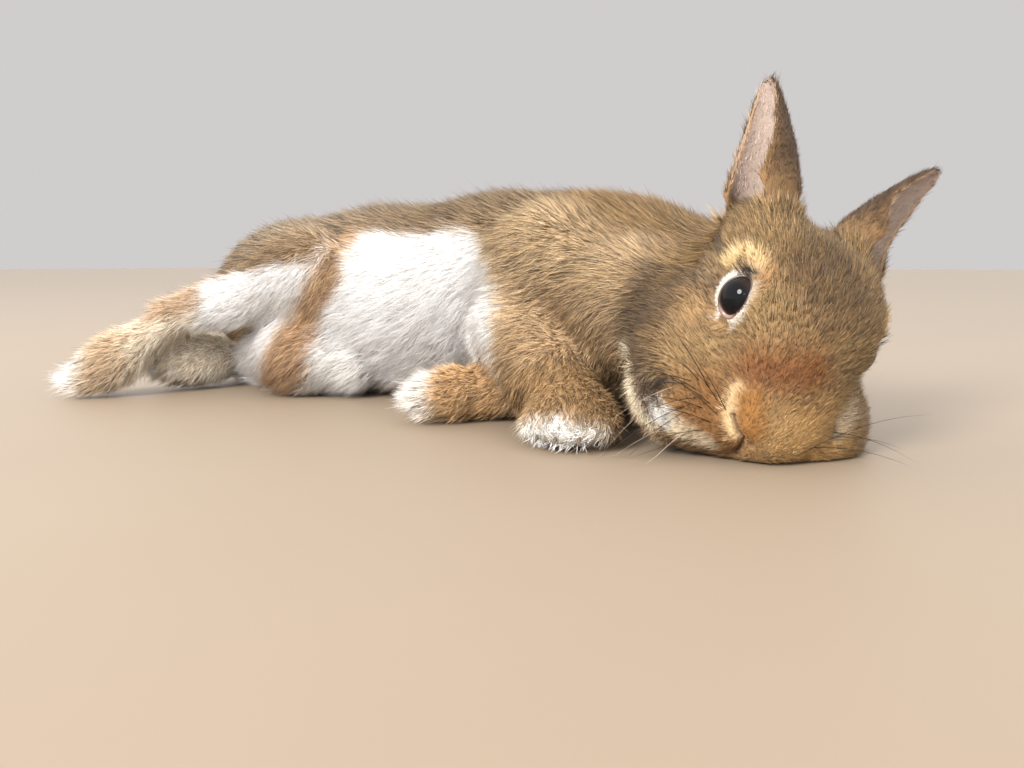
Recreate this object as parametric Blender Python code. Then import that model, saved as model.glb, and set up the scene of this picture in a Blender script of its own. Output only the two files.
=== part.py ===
"""A small brown and white rabbit with upright ears, life size, lying half on its left side.

+X runs along the back towards the head, +Y towards the spine, away from the belly, and +Z is up.
The rabbit lies on the floor at Z = 0.  Lengths are in metres and reach the tips of the coat.
"""

import math

import bmesh
import bpy
import numpy as np
from mathutils import Matrix, Vector

# ---------------------------------------------------------------- sizes of the whole animal

CENTRE = Vector((0.0018, -0.0071, 0.0))   # under the middle of the box round the rabbit as laid out below
GAP = 0.0003                         # between neighbouring pieces
VOXEL = 0.0032                       # grain of the first rough joining of the forms
FLESH_TRIANGLES = 3400
BAG_TRIANGLES = 200
CRUMB = 20                           # a loose bit of fewer corners is dropped
SMOOTHING_ROUNDS = 5

# The head has its own axes, right, forward and up, from the point midway between the eyes.
HEAD_CENTRE = (0.1725, -0.0350, 0.0432)
HEAD_TURN = 75.0                     # degrees from +X, round to the belly side
HEAD_DIP = 46.0                      # degrees, the nose below the level
HEAD_ROLL = 37.0                     # degrees, the right side up

EYE_RADIUS = 0.0086
# The middle of each eyeball, in the head's axes.
EYES = {
    "eye_right": (0.0218, -0.0005, 0.0008),
    "eye_left": (-0.0195, -0.0005, 0.0008),
}

EAR_THICKNESS = 0.0028               # gristle, skin and the short hair on both faces
EAR_COLUMNS = 7
# Root, tip and the way the opening looks, in the head's axes, and the share of its curl that an ear keeps
# above the root.
EARS = {
    "ear_right": ((0.0188, -0.033, 0.0018), (0.0307, -0.0965, 0.0137), (0.89, 0.45, 0.03), 1.0),
    "ear_left": ((-0.016, -0.033, 0.003), (-0.0475, -0.0885, 0.0204), (-0.52, 0.68, 0.52), 0.74),
}
# From root to tip: share of the length, radius of the curl, degrees of the curl to each edge.
EAR_PROFILE = (
    (-0.12, 0.0120, 158.0),
    (0.05, 0.0139, 152.0),
    (0.25, 0.0133, 134.0),
    (0.50, 0.0115, 114.0),
    (0.75, 0.0084, 100.0),
    (0.90, 0.0060, 88.0),
    (0.97, 0.0043, 78.0),
    (1.00, 0.0026, 68.0),
)
EAR_STATIONS = (-0.12, 0.02, 0.16, 0.30, 0.45, 0.60, 0.74, 0.86, 0.94, 1.0)

COLOURS = {
    "agouti": (0.42, 0.27, 0.13, 1.0),
    "white": (0.86, 0.84, 0.80, 1.0),
    "tan": (0.56, 0.40, 0.24, 1.0),
    "eye": (0.015, 0.012, 0.012, 1.0),
}

# ---------------------------------------------------------------- axes


def axes_of(forward, side):
    """Three unit columns: forward, the part of side square to it, and their cross product."""
    first = np.array(forward, float)
    first /= np.linalg.norm(first)
    second = np.array(side, float)
    second -= first * (second @ first)
    second /= np.linalg.norm(second)
    return np.stack([first, second, np.cross(first, second)], axis=1)


def head_axes():
    """The head's right, forward and up axes as columns."""
    turn, dip, roll = (math.radians(angle) for angle in (HEAD_TURN, HEAD_DIP, HEAD_ROLL))
    forward = np.array([math.cos(turn) * math.cos(dip), -math.sin(turn) * math.cos(dip), -math.sin(dip)])
    level = np.cross(forward, (0.0, 0.0, 1.0))
    level /= np.linalg.norm(level)
    right = level * math.cos(roll) + np.cross(level, forward) * math.sin(roll)
    return np.stack([right, forward, np.cross(right, forward)], axis=1)


HEAD_AXES = head_axes()


def in_head(point):
    """A place given in the head's axes, in the rabbit's own."""
    return HEAD_AXES @ np.array(point, float) + np.array(HEAD_CENTRE)


# ---------------------------------------------------------------- forms


def ball(centre, radii, forward=(1, 0, 0), side=(0, 1, 0)):
    """An ellipsoid whose first radius lies along forward and whose second lies along side."""
    return ("ball", np.array(centre, float), np.array(radii, float), axes_of(forward, side))


def head_ball(centre, radii):
    """An ellipsoid in the head's axes."""
    return ("ball", in_head(centre), np.array(radii, float), HEAD_AXES)


def head_pair(centre, radii):
    """The same ellipsoid on both sides of the head."""
    right, forward, up = centre
    return (head_ball((right, forward, up), radii), head_ball((-right, forward, up), radii))


def limb(*stations):
    """Round tapering lengths through (x, y, z, radius) stations."""
    return tuple(
        ("cone", np.array(start[:3], float), start[3], np.array(end[:3], float), end[3])
        for start, end in zip(stations, stations[1:])
    )


def head_limb(*stations):
    """Round tapering lengths through stations given in the head's axes."""
    return limb(*((*in_head(station[:3]), station[3]) for station in stations))


TRUNK = (
    ball((-0.124, 0.032, 0.0425), (0.052, 0.054, 0.0475)),
    ball((-0.060, 0.033, 0.0455), (0.080, 0.055, 0.0505)),
    ball((0.015, 0.033, 0.0470), (0.075, 0.056, 0.0530)),
    ball((-0.035, 0.012, 0.039), (0.070, 0.044, 0.042)),
    ball((0.066, 0.022, 0.0455), (0.054, 0.052, 0.0510)),
)
NECK = limb((0.095, 0.020, 0.049, 0.038), (0.142, 0.004, 0.050, 0.030))
SHOULDER = (
    ball((0.063, -0.014, 0.052), (0.032, 0.030, 0.039)),
    ball((0.104, -0.021, 0.041), (0.030, 0.028, 0.034)),
)

HEAD = (
    head_ball((0.0, -0.011, -0.003), (0.026, 0.028, 0.025)),
    head_ball((0.0, -0.031, -0.016), (0.028, 0.023, 0.023)),
    *head_pair((0.0135, -0.009, -0.022), (0.022, 0.030, 0.021)),
    head_ball((0.0, 0.014, -0.012), (0.021, 0.022, 0.019)),
    *head_pair((0.0095, 0.025, -0.025), (0.0115, 0.013, 0.0115)),
    head_ball((-0.002, 0.019, -0.031), (0.012, 0.013, 0.007)),
    *head_pair((0.0145, -0.0025, 0.0055), (0.007, 0.012, 0.008)),
    head_ball((0.024, -0.005, -0.034), (0.017, 0.034, 0.020)),
    head_ball((0.012, 0.015, -0.032), (0.018, 0.018, 0.010)),
    head_ball((-0.026, 0.013, -0.021), (0.018, 0.022, 0.015)),
    head_ball((0.026, 0.018, -0.032), (0.015, 0.020, 0.012)),
    head_ball((-0.020, 0.024, -0.024), (0.014, 0.013, 0.013)),
    head_ball((0.0, 0.031, -0.020), (0.008, 0.006, 0.006)),
    *head_limb((0.0, 0.005, 0.0035, 0.015), (0.0, 0.031, -0.015, 0.0075)),
    *head_limb((0.0186, -0.0240, 0.0016, 0.0135), (0.0196, -0.0310, 0.0028, 0.0122)),
    *head_limb((-0.0160, -0.0230, 0.0030, 0.0110), (-0.0175, -0.0300, 0.0042, 0.0088)),
)
EYE_HOLLOW = head_pair((0.0325, 0.001, 0.0), (0.0092, 0.0125, 0.0095))

FORELEG_RIGHT = limb(
    (0.059, -0.030, 0.038, 0.022),
    (0.084, -0.047, 0.022, 0.017),
    (0.098, -0.058, 0.013, 0.015),
)
FOREPAW_RIGHT = (
    ball((0.102, -0.064, 0.009), (0.017, 0.019, 0.011), (0.45, -0.90, -0.05), (1.0, 0.45, 0.0)),
)
FORELEG_LEFT = limb((0.062, -0.015, 0.014, 0.015), (0.049, -0.034, 0.012, 0.013))
FOREPAW_LEFT = (
    ball((0.039, -0.047, 0.0115), (0.023, 0.0115, 0.013), (-0.55, -0.83, -0.05), (1.0, -0.6, 0.0)),
)

THIGH_RIGHT = limb((-0.119, 0.017, 0.045, 0.029), (-0.070, -0.019, 0.057, 0.024))
SHANK_RIGHT = limb((-0.070, -0.019, 0.056, 0.023), (-0.125, -0.060, 0.039, 0.010))
HOCK_RIGHT = limb((-0.126, -0.061, 0.036, 0.010), (-0.141, -0.080, 0.019, 0.011))
HINDFOOT_RIGHT = (
    ball((-0.143, -0.084, 0.016), (0.024, 0.014, 0.011), (-0.45, -0.65, -0.50), (-0.3, -0.3, 1.0)),
)
THIGH_LEFT = limb((-0.125, 0.025, 0.028, 0.030), (-0.072, -0.026, 0.020, 0.020))
SHANK_LEFT = limb((-0.072, -0.026, 0.018, 0.019), (-0.126, -0.012, 0.013, 0.014))
KNEE_LEFT = limb((-0.064, -0.018, 0.046, 0.019), (-0.072, -0.025, 0.020, 0.0195), (-0.042, -0.018, 0.017, 0.016))
HINDFOOT_LEFT = (
    ball((-0.131, -0.040, 0.0145), (0.028, 0.0155, 0.012), (-0.2, -0.97, 0.0), (0.0, 0.0, 1.0)),
)
TAIL = limb((-0.164, 0.044, 0.036, 0.013), (-0.181, 0.055, 0.037, 0.0135), (-0.186, 0.061, 0.044, 0.012))

# ---------------------------------------------------------------- the smooth surface


def distance_to(form, points):
    """How far each point lies outside one form."""
    if form[0] == "ball":
        _, centre, radii, axes = form
        local = (points - centre) @ axes
        level = np.sqrt(((local / radii) ** 2).sum(axis=1)) + 1e-9
        slope = np.sqrt(((local / radii**2) ** 2).sum(axis=1)) + 1e-9
        return level * (level - 1.0) / slope
    _, start, start_radius, end, end_radius = form
    along = end - start
    part = np.clip((points - start) @ along / (along @ along), 0.0, 1.0)
    off = points - start - part[:, None] * along
    return np.sqrt((off**2).sum(axis=1)) - (start_radius + (end_radius - start_radius) * part)


def blend(first, second, width):
    """The union of two distances, with the crease between them filled over a width."""
    share = np.clip(0.5 + 0.5 * (second - first) / width, 0.0, 1.0)
    return second + (first - second) * share - width * share * (1.0 - share)


def group(points, forms, width):
    """The blended distance to several forms."""
    total = distance_to(forms[0], points)
    for form in forms[1:]:
        total = blend(total, distance_to(form, points), width)
    return total


def flesh(points):
    """How far each point lies outside the whole rabbit, without its ears and eyes."""
    head = group(points, HEAD, 0.014)
    for hollow in EYE_HOLLOW:
        head = -blend(-head, distance_to(hollow, points), 0.005)
    body = blend(group(points, TRUNK, 0.016), group(points, NECK, 0.010), 0.018)
    body = blend(body, head, 0.012)
    body = blend(body, group(points, SHOULDER, 0.010), 0.012)
    body = blend(body, group(points, TAIL, 0.010), 0.008)
    thigh_left = blend(group(points, THIGH_LEFT, 0.01), group(points, SHANK_LEFT + KNEE_LEFT, 0.01), 0.010)
    body = blend(body, blend(thigh_left, group(points, HINDFOOT_LEFT, 0.004), 0.004), 0.008)
    leg_right = blend(group(points, THIGH_RIGHT, 0.01), group(points, SHANK_RIGHT, 0.01), 0.012)
    leg_right = blend(leg_right, group(points, HOCK_RIGHT + HINDFOOT_RIGHT, 0.006), 0.006)
    body = blend(body, leg_right, 0.006)
    body = blend(body, group(points, FORELEG_LEFT + FOREPAW_LEFT, 0.006), 0.003)
    return blend(body, group(points, FORELEG_RIGHT + FOREPAW_RIGHT, 0.008), 0.005)


def slope_of(distance, points, step=0.0004):
    """The direction in which a distance grows, at each point."""
    slope = np.empty_like(points)
    for axis in range(3):
        move = np.zeros(3)
        move[axis] = step
        slope[:, axis] = (distance(points + move) - distance(points - move)) / (2.0 * step)
    return slope


def settle(distance, points, moves=2):
    """Move points along the slope until the distance is nothing."""
    for _ in range(moves):
        slope = slope_of(distance, points)
        steepness = np.maximum((slope**2).sum(axis=1), 0.05)
        points = points - (distance(points) / steepness)[:, None] * slope
    return points


# ---------------------------------------------------------------- Blender helpers


def clear_scene():
    for item in list(bpy.data.objects):
        bpy.data.objects.remove(item, do_unlink=True)


def material(name):
    """The plain coat or eye material of a colour."""
    found = bpy.data.materials.get(name)
    if found:
        return found
    made = bpy.data.materials.new(name)
    made.use_nodes = True
    shader = made.node_tree.nodes["Principled BSDF"]
    shader.inputs["Base Color"].default_value = COLOURS[name]
    shader.inputs["Roughness"].default_value = 0.1 if name == "eye" else 0.9
    shader.inputs["Metallic"].default_value = 0.0
    return made


def add_object(name, shape, colour=None):
    """A scene object from a bmesh, which is freed."""
    mesh = bpy.data.meshes.new(name)
    shape.to_mesh(mesh)
    shape.free()
    made = bpy.data.objects.new(name, mesh)
    bpy.context.collection.objects.link(made)
    if colour:
        mesh.materials.append(material(colour))
        mesh.shade_smooth()
    return made


def evaluated(source):
    """A bmesh of an object as its modifiers leave it; the object is removed."""
    bpy.context.view_layer.update()
    shape = bmesh.new()
    shape.from_object(source, bpy.context.evaluated_depsgraph_get())
    bpy.data.objects.remove(source, do_unlink=True)
    return shape


def as_guide(item):
    """Mark an object that only cuts another."""
    item.hide_render = True
    item.display_type = "WIRE"
    return item


def form_shape(form):
    """One form as a closed bmesh."""
    shape = bmesh.new()
    if form[0] == "ball":
        _, centre, radii, axes = form
        bmesh.ops.create_icosphere(shape, subdivisions=4, radius=1.0)
        turn = Matrix(axes.tolist()).to_4x4() @ Matrix.Diagonal((*radii, 1.0))
        shape.transform(Matrix.Translation(centre) @ turn)
        if np.linalg.det(axes) < 0.0:
            bmesh.ops.reverse_faces(shape, faces=shape.faces[:])
        return shape
    _, start, start_radius, end, end_radius = form
    for place, radius in ((start, start_radius), (end, end_radius)):
        bmesh.ops.create_icosphere(shape, subdivisions=3, radius=radius, matrix=Matrix.Translation(place))
    hull = bmesh.ops.convex_hull(shape, input=shape.verts[:])
    spare = [item for item in hull["geom_interior"] if isinstance(item, bmesh.types.BMVert)]
    bmesh.ops.delete(shape, geom=spare, context="VERTS")
    return shape


def coordinates(shape):
    return np.array([tuple(vertex.co) for vertex in shape.verts])


def place_vertices(shape, points):
    for vertex, point in zip(shape.verts, points):
        vertex.co = point


# ---------------------------------------------------------------- the flesh in one piece

ALL_FORMS = (
    TRUNK + NECK + SHOULDER + HEAD + TAIL + FORELEG_RIGHT + FOREPAW_RIGHT + FORELEG_LEFT + FOREPAW_LEFT
    + THIGH_RIGHT + SHANK_RIGHT + HOCK_RIGHT + HINDFOOT_RIGHT + THIGH_LEFT + SHANK_LEFT + KNEE_LEFT
    + HINDFOOT_LEFT
)


def joined_forms(forms):
    """Forms joined into one rough closed skin."""
    whole = bmesh.new()
    for form in forms:
        shape = form_shape(form)
        piece = bpy.data.meshes.new("form")
        shape.to_mesh(piece)
        shape.free()
        whole.from_mesh(piece)
        bpy.data.meshes.remove(piece)
    rough = add_object("rough_skin", whole)
    remesh = rough.modifiers.new("join", "REMESH")
    remesh.mode = "VOXEL"
    remesh.voxel_size = VOXEL
    return evaluated(rough)


def smooth_skin(forms, distance, triangles):
    """A closed skin of about so many triangles where the distance is nothing."""
    shape = joined_forms(forms)
    for _ in range(SMOOTHING_ROUNDS):
        bmesh.ops.smooth_vert(
            shape, verts=shape.verts[:], factor=0.5, use_axis_x=True, use_axis_y=True, use_axis_z=True
        )
        place_vertices(shape, settle(distance, coordinates(shape)))
    bmesh.ops.triangulate(shape, faces=shape.faces[:])
    count = len(shape.faces)
    fine = add_object("fine_skin", shape)
    thin = fine.modifiers.new("thin", "DECIMATE")
    thin.ratio = triangles / count
    shape = evaluated(fine)
    place_vertices(shape, settle(distance, coordinates(shape), moves=1))
    return shape


def flesh_shape():
    """The whole rabbit without ears and eyes, flat where it rests on the floor."""
    shape = smooth_skin(ALL_FORMS, flesh, FLESH_TRIANGLES)
    cut = bmesh.ops.bisect_plane(
        shape, geom=shape.verts[:] + shape.edges[:] + shape.faces[:], dist=0.00002,
        plane_co=(0.0, 0.0, 0.0), plane_no=(0.0, 0.0, -1.0), clear_outer=True,
    )
    rim = [item for item in cut["geom_cut"] if isinstance(item, bmesh.types.BMEdge)]
    bmesh.ops.holes_fill(shape, edges=rim, sides=0)
    bmesh.ops.triangulate(shape, faces=shape.faces[:])
    bmesh.ops.recalc_face_normals(shape, faces=shape.faces[:])
    return shape


# ---------------------------------------------------------------- thin cuts between the pieces

# A limb is parted off along a bag, a round skin that wraps it and closes inside the body.
HINDLEG_RIGHT_BAG = limb(
    (-0.103, 0.003, 0.060, 0.0310),
    (-0.070, -0.019, 0.058, 0.0315),
    (-0.125, -0.060, 0.0395, 0.0135),
    (-0.142, -0.081, 0.020, 0.0175),
    (-0.152, -0.096, 0.010, 0.0180),
)
HINDLEG_LEFT_BAG = limb(
    (-0.064, -0.025, 0.022, 0.0295),
    (-0.086, -0.026, 0.026, 0.0270),
    (-0.126, -0.014, 0.013, 0.0190),
    (-0.131, -0.040, 0.013, 0.0175),
    (-0.135, -0.062, 0.013, 0.0175),
)
FORELEG_RIGHT_BAG = limb(
    (0.068, -0.036, 0.032, 0.0240),
    (0.098, -0.060, 0.012, 0.0230),
    (0.104, -0.072, 0.008, 0.0220),
)
FORELEG_LEFT_BAG = limb((0.056, -0.024, 0.013, 0.0165), (0.030, -0.060, 0.011, 0.0200))
BAG_BLEND = 0.006


def swollen(shape, amount):
    """A copy of a closed bmesh moved outwards."""
    copy = shape.copy()
    copy.normal_update()
    for vertex, normal in [(vertex, vertex.normal.copy()) for vertex in copy.verts]:
        vertex.co += normal * amount
    return copy


def bag_shape(forms):
    """Two skins round a limb, one just inside the other, with the gap between them."""
    skin = smooth_skin(forms, lambda points: group(points, forms, BAG_BLEND), BAG_TRIANGLES)
    inner = swollen(skin, -GAP)
    bmesh.ops.reverse_faces(inner, faces=inner.faces[:])
    lining = bpy.data.meshes.new("lining")
    inner.to_mesh(lining)
    inner.free()
    skin.from_mesh(lining)
    bpy.data.meshes.remove(lining)
    return skin


def slab_shape(middle, facing, width=0.140):
    """A thin square slab."""
    shape = bmesh.new()
    turn = Vector(facing).to_track_quat("Z", "Y").to_matrix().to_4x4()
    size = Matrix.Diagonal((width, width, GAP, 1.0))
    bmesh.ops.create_cube(shape, size=1.0, matrix=Matrix.Translation(middle) @ turn @ size)
    return shape


def cut_away(shape, cutters):
    """Take the cutters' volumes away from a shape."""
    whole = add_object("whole", shape)
    guides = []
    for number, cutter in enumerate(cutters):
        guides.append(as_guide(add_object(f"cutter_{number}", cutter)))
        cut = whole.modifiers.new(f"cut_{number}", "BOOLEAN")
        cut.operation = "DIFFERENCE"
        cut.solver = "EXACT"
        cut.object = guides[-1]
    result = evaluated(whole)
    for guide in guides:
        bpy.data.objects.remove(guide, do_unlink=True)
    return result


def loose_pieces(shape):
    """The separate closed bodies of a bmesh, as sets of vertex numbers."""
    shape.verts.index_update()
    left = set(shape.verts)
    found = []
    while left:
        reach = [left.pop()]
        piece = {reach[0].index}
        while reach:
            for edge in reach.pop().link_edges:
                for other in edge.verts:
                    if other in left:
                        left.remove(other)
                        piece.add(other.index)
                        reach.append(other)
        found.append(piece)
    return found


def without(shape, numbers):
    """A copy of a bmesh that lacks the vertices with these numbers."""
    rest = shape.copy()
    spare = [vertex for vertex in rest.verts if vertex.index in numbers]
    bmesh.ops.delete(rest, geom=spare, context="VERTS")
    return rest


def part_off(shape, cutter, middle):
    """Cut a shape in two: the piece whose box is centred nearest to middle, and the rest."""
    cut = cut_away(shape, [cutter])
    pieces = loose_pieces(cut)
    cut.verts.ensure_lookup_table()

    def away(piece):
        points = np.array([tuple(cut.verts[number].co) for number in piece])
        return np.linalg.norm((points.min(axis=0) + points.max(axis=0)) / 2.0 - np.array(middle))

    chosen = min(pieces, key=away)
    crumbs = set().union(*(piece for piece in pieces if len(piece) < CRUMB))
    others = set().union(*(piece for piece in pieces if piece is not chosen))
    halves = without(cut, others), without(cut, chosen | crumbs)
    cut.free()
    return halves


# ---------------------------------------------------------------- eyes and ears


def eye_shape(name, radius):
    """One eyeball."""
    shape = bmesh.new()
    place = Matrix.Translation(in_head(EYES[name]))
    bmesh.ops.create_icosphere(shape, subdivisions=3, radius=radius, matrix=place)
    return shape


def ear_shape(root, tip, opening, kept):
    """A cupped leaf, rolled nearly shut at the root, with an even thickness."""
    root, tip = in_head(root), in_head(tip)
    axes = axes_of(tip - root, HEAD_AXES @ np.array(opening))
    along, open_way, across = axes.T
    length = np.linalg.norm(tip - root)
    share, radii, curls = np.array(EAR_PROFILE).T
    shape = bmesh.new()
    rows = []
    for station in EAR_STATIONS:
        radius = np.interp(station, share, radii)
        opened = 1.0 - (1.0 - kept) * min(max(2.0 * station, 0.0), 1.0)
        curl = math.radians(np.interp(station, share, curls)) * opened
        middle = root + along * (station * length)
        row = []
        for column in range(EAR_COLUMNS + 1):
            angle = curl * (2.0 * column / EAR_COLUMNS - 1.0)
            around = across * math.sin(angle) - open_way * math.cos(angle)
            row.append(shape.verts.new(middle + radius * around))
        rows.append(row)
    for lower, upper in zip(rows, rows[1:]):
        for column in range(EAR_COLUMNS):
            shape.faces.new((lower[column], lower[column + 1], upper[column + 1], upper[column]))
    leaf = add_object("leaf", shape)
    thick = leaf.modifiers.new("thick", "SOLIDIFY")
    thick.thickness = EAR_THICKNESS
    thick.offset = 0.0
    thick.use_even_offset = True
    shape = evaluated(leaf)
    bmesh.ops.recalc_face_normals(shape, faces=shape.faces[:])
    bmesh.ops.triangulate(shape, faces=shape.faces[:])
    return shape


# ---------------------------------------------------------------- the rabbit

# Pieces in the order in which they are parted off, each with the middle of the box round it.
LIMB_PIECES = {
    "hindleg_right": (HINDLEG_RIGHT_BAG, (-0.110, -0.045, 0.035)),
    "hindleg_left": (HINDLEG_LEFT_BAG, (-0.095, -0.035, 0.014)),
    "foreleg_right": (FORELEG_RIGHT_BAG, (0.088, -0.052, 0.020)),
    "foreleg_left": (FORELEG_LEFT_BAG, (0.045, -0.038, 0.013)),
}
TRUNK_PIECES = {
    "tail": ((-0.1785, 0.046, 0.047), (-0.86, 0.45, 0.10), 0.060, (-0.190, 0.054, 0.050)),
    "head": ((0.147, -0.006, 0.050), (0.75, -0.66, 0.0), 0.140, (0.160, -0.025, 0.040)),
    "neck": ((0.112, 0.014, 0.050), (0.95, -0.30, 0.0), 0.140, (0.130, 0.005, 0.050)),
    "chest": ((0.020, 0.030, 0.045), (1.0, 0.0, 0.0), 0.180, (0.070, 0.020, 0.047)),
    "belly": ((-0.042, 0.030, 0.045), (1.0, 0.0, 0.0), 0.180, (-0.010, 0.030, 0.045)),
}
FOOT_PIECES = {
    "forepaw_right": (
        "foreleg_right", (0.090, -0.052, 0.017), (0.62, -0.70, -0.40), (0.100, -0.062, 0.012)
    ),
    "hindfoot_right": (
        "hindleg_right", (-0.127, -0.062, 0.037), (-0.60, -0.65, -0.45), (-0.145, -0.085, 0.018)
    ),
    "hindfoot_left": (
        "hindleg_left", (-0.116, -0.032, 0.013), (-0.75, -0.66, 0.0), (-0.131, -0.045, 0.013)
    ),
}
COATS = {
    "tail": "white",
    "belly": "white",
    "forepaw_right": "tan",
    "hindfoot_right": "tan",
    "hindfoot_left": "tan",
}


def add_flesh(rest):
    """The flesh, parted into its named pieces."""
    pieces = {}
    for name, (bag, middle) in LIMB_PIECES.items():
        pieces[name], rest = part_off(rest, bag_shape(bag), middle)
    for name, (place, facing, width, middle) in TRUNK_PIECES.items():
        pieces[name], rest = part_off(rest, slab_shape(place, facing, width), middle)
    for name, (source, place, facing, middle) in FOOT_PIECES.items():
        pieces[name], pieces[source] = part_off(pieces[source], slab_shape(place, facing), middle)
    pieces["hindquarters"] = rest
    for name, shape in pieces.items():
        bmesh.ops.triangulate(shape, faces=shape.faces[:])
        add_object(name, shape, COATS.get(name, "agouti"))


def add_ears(swollen_flesh):
    for name, layout in EARS.items():
        shape = cut_away(ear_shape(*layout), [swollen_flesh.copy()])
        bmesh.ops.triangulate(shape, faces=shape.faces[:])
        add_object(name, shape, "agouti")


def add_eyes():
    for name in EYES:
        add_object(name, eye_shape(name, EYE_RADIUS), "eye")


clear_scene()
whole_flesh = flesh_shape()
around_flesh = swollen(whole_flesh, GAP)
add_flesh(cut_away(whole_flesh, [eye_shape(name, EYE_RADIUS + GAP) for name in EYES]))
add_ears(around_flesh)
add_eyes()
for item in bpy.context.scene.objects:
    item.location = item.location - CENTRE
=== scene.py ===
import math

import bmesh
import bpy
import numpy as np
from mathutils import Matrix, Vector


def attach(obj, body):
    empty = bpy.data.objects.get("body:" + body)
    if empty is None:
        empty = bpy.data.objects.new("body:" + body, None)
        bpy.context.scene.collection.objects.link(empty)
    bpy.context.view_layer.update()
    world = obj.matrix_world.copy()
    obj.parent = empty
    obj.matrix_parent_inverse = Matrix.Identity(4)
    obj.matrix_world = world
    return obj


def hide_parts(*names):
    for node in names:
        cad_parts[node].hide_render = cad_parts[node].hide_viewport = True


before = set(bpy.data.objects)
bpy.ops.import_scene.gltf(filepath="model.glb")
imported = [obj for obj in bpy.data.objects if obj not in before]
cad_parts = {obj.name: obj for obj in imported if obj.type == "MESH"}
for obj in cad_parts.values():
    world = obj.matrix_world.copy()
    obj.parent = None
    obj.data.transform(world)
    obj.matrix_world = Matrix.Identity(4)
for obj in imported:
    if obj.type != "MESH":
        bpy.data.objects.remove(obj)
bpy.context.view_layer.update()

# ---------------------------------------------------------------- floor, light and camera
# A plain pale floor that runs out of sight, a large soft lamp on the belly's side, a small one
# for the glint in the eye, an even pale sky, and a camera just above the floor that looks
# across the rabbit from in front of its forelegs.

LAID_OUT = Vector((0.0018, -0.0071, 0.0))   # where the frame's origin lies in the rabbit's own layout
FLOOR_SIZE = 8.0


def add_object(name, shape):
    """A scene object from a bmesh, which is freed."""
    mesh = bpy.data.meshes.new(name)
    shape.to_mesh(mesh)
    shape.free()
    made = bpy.data.objects.new(name, mesh)
    bpy.context.collection.objects.link(made)
    return made


floor_form = bmesh.new()
bmesh.ops.create_grid(floor_form, x_segments=2, y_segments=2, size=FLOOR_SIZE)
floor = add_object("floor", floor_form)


class Shade:
    """One value in a material's nodes, to multiply or to mix colours by."""

    def __init__(self, tree, socket=None):
        self.tree = tree
        self.socket = socket

    def node(self, kind, settings=None, inputs=None, output=0):
        """Any node: its settings, the values or links of its sockets, and the output to use."""
        made = self.tree.nodes.new(kind)
        for key, value in (settings or {}).items():
            setattr(made, key, value)
        for key, value in (inputs or {}).items():
            if isinstance(value, Shade):
                self.tree.links.new(value.socket, made.inputs[key])
            else:
                made.inputs[key].default_value = value
        return Shade(self.tree, made.outputs[output])

    def __mul__(self, other):
        return self.node("ShaderNodeMath", {"operation": "MULTIPLY"}, {0: self, 1: other})

    def mix(self, colour, other):
        """From one colour to another as this value goes from 0 to 1."""
        return self.node("ShaderNodeMix", {"data_type": "RGBA"}, {0: self, 6: colour, 7: other}, output=2)


def new_finish(name, **constants):
    """A Principled material with uniform numbers set on its shader, and its node tree to build on."""
    made = bpy.data.materials.new(name)
    made.use_nodes = True
    shader = made.node_tree.nodes["Principled BSDF"]
    for key, value in constants.items():
        shader.inputs[key.replace("_", " ")].default_value = value
    return made, Shade(made.node_tree), shader


def feed(shader, key, shade):
    shade.tree.links.new(shade.socket, shader.inputs[key])


floor_finish, floor_tree, floor_shader = new_finish("pale_floor", Roughness=0.6)
floor_place = floor_tree.node("ShaderNodeTexCoord", output=3)
floor_mottle = floor_tree.node(
    "ShaderNodeTexNoise", inputs={"Vector": floor_place, "Scale": 9.0, "Detail": 4.0}
)
feed(floor_shader, "Base Color", floor_mottle.mix((0.240, 0.183, 0.127, 1.0), (0.257, 0.198, 0.139, 1.0)))
floor.data.materials.append(floor_finish)

CAMERA_PLACE = Vector((0.25, -0.33, 0.065)) - LAID_OUT
CAMERA_TURN = 33.0                   # degrees from +Y towards -X
CAMERA_DIP = 7.98                    # degrees below the level
CAMERA_LENS = 30.59

camera_data = bpy.data.cameras.new("camera")
camera_data.lens = CAMERA_LENS
camera_data.clip_start = 0.01
camera = bpy.data.objects.new("camera", camera_data)
bpy.context.collection.objects.link(camera)
camera.location = CAMERA_PLACE
camera.rotation_euler = (math.radians(90.0 - CAMERA_DIP), 0.0, math.radians(CAMERA_TURN))
bpy.context.scene.camera = camera


def add_lamp(name, place, target, size, power, colour):
    """A round soft lamp at a place, turned to a target."""
    data = bpy.data.lights.new(name, "AREA")
    data.shape = "DISK"
    data.size = size
    data.energy = power
    data.color = colour
    lamp = bpy.data.objects.new(name, data)
    bpy.context.collection.objects.link(lamp)
    lamp.location = place
    lamp.rotation_euler = (Vector(target) - Vector(place)).to_track_quat("-Z", "Y").to_euler()


LAMPLIGHT = (1.0, 0.985, 0.965)
SKYLIGHT = (1.76, 1.74, 1.74, 1.0)
SKY_AS_SEEN = (0.63, 0.61, 0.61, 1.0)
add_lamp("key_lamp", (-0.15, -1.90, 1.20), (0.0, 0.0, 0.04), 0.8, 80.0, LAMPLIGHT)
add_lamp("catch_lamp", (0.68, -1.44, 0.64), (0.157, -0.042, 0.053), 0.07, 1.5, (1.0, 1.0, 1.0))

world = bpy.data.worlds.new("studio")
world.use_nodes = True
world_tree = Shade(world.node_tree)
seen = world_tree.node("ShaderNodeLightPath")
sky = seen.mix(SKYLIGHT, SKY_AS_SEEN)
world.node_tree.links.new(sky.socket, world.node_tree.nodes["Background"].inputs["Color"])
bpy.context.scene.world = world
bpy.context.scene.view_settings.view_transform = "Standard"

# ---------------------------------------------------------------- the skin
# The rabbit's skin, closed and in one piece from the nose to the toes and the tips of the
# ears.  It lies inside the solid body by the depth of the coat, which is thin on the face
# and feet and thick on the belly.

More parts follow.
